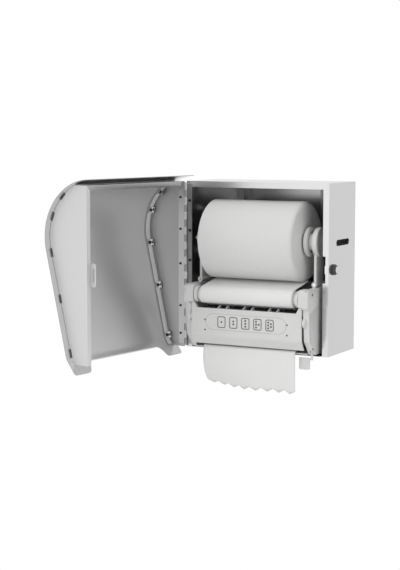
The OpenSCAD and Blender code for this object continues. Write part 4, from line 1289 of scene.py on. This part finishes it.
def add_floor(size):
    """Round floor below the object."""
    mesh = bmesh.new()
    bmesh.ops.create_circle(mesh, cap_ends=True, segments=FLOOR_STEPS, radius=size.floor_radius)
    move(mesh, (0, 0, CAD_BOX[0][2] - size.floor_gap))
    data = store("floor", mesh)
    data.materials.append(floor_finish(size))
    add_object("floor", data)


def build_stage():
    """Camera, pale floor, white surroundings and soft lamps."""
    size = looks().stage
    add_camera(size)
    add_floor(size)
    add_sky(size.soft_light)
    add_lamps()
    bpy.context.scene.view_settings.view_transform = "Standard"


# Operators and panel


class MakeStage(bpy.types.Operator):
    """Set up the camera, floor and lamps"""

    bl_idname = "dispenser.stage"
    bl_label = "Stage"

    def execute(self, context):
        build_stage()
        return {"FINISHED"}


class MakeFinishes(bpy.types.Operator):
    """Make the finishes and put them on the frame's parts"""

    bl_idname = "dispenser.finishes"
    bl_label = "Finishes"

    def execute(self, context):
        make_finishes()
        dress_frame()
        return {"FINISHED"}


class MakeWrap(bpy.types.Operator):
    """Make the cover's curved front sheet and its hem"""

    bl_idname = "dispenser.front_sheet"
    bl_label = "Front sheet"

    def execute(self, context):
        build_wrap()
        return {"FINISHED"}


class MakeEdging(bpy.types.Operator):
    """Make the cheeks' edging, pale to paint a highlight, with its dark strip of painted shade, and dark blocks
    that paint the shade in the slots
    """

    bl_idname = "dispenser.edging"
    bl_label = "Edging"

    def execute(self, context):
        build_edging()
        build_shade_liners()
        return {"FINISHED"}


class MakeRoll(bpy.types.Operator):
    """Make the towel roll"""

    bl_idname = "dispenser.roll"
    bl_label = "Towel roll"

    def execute(self, context):
        build_roll()
        return {"FINISHED"}


class MakeTowel(bpy.types.Operator):
    """Make the towel over the rollers and the length that hangs out"""

    bl_idname = "dispenser.towel"
    bl_label = "Towel"

    def execute(self, context):
        build_towel()
        return {"FINISHED"}


class MakeMarks(bpy.types.Operator):
    """Make the plain marks on the front panel"""

    bl_idname = "dispenser.marks"
    bl_label = "Panel marks"

    def execute(self, context):
        build_marks()
        return {"FINISHED"}


OPERATORS = (MakeStage, MakeFinishes, MakeWrap, MakeEdging, MakeRoll, MakeTowel, MakeMarks)


class DispenserPanel(bpy.types.Panel):
    """Sidebar panel that lists the dispenser's pieces"""

    bl_idname = "VIEW3D_PT_dispenser"
    bl_label = "Dispenser"
    bl_space_type = "VIEW_3D"
    bl_region_type = "UI"
    bl_category = "Dispenser"

    def draw(self, context):
        for operator in OPERATORS:
            self.layout.operator(operator.bl_idname)


GROUPS = (SheetSizes, PaperSizes, PanelSizes, FinishColours, StageSizes, DispenserLooks)
CLASSES = (*GROUPS, *OPERATORS, DispenserPanel)


def register():
    for item in CLASSES:
        bpy.utils.register_class(item)
    bpy.types.Scene.dispenser_looks = PointerProperty(type=DispenserLooks)


def unregister():
    del bpy.types.Scene.dispenser_looks
    for item in reversed(CLASSES):
        bpy.utils.unregister_class(item)


def main():
    register()
    bpy.ops.dispenser.stage()
    bpy.ops.dispenser.finishes()
    bpy.ops.dispenser.front_sheet()
    bpy.ops.dispenser.edging()
    bpy.ops.dispenser.roll()
    bpy.ops.dispenser.towel()
    bpy.ops.dispenser.marks()


if __name__ == "__main__":
    main()
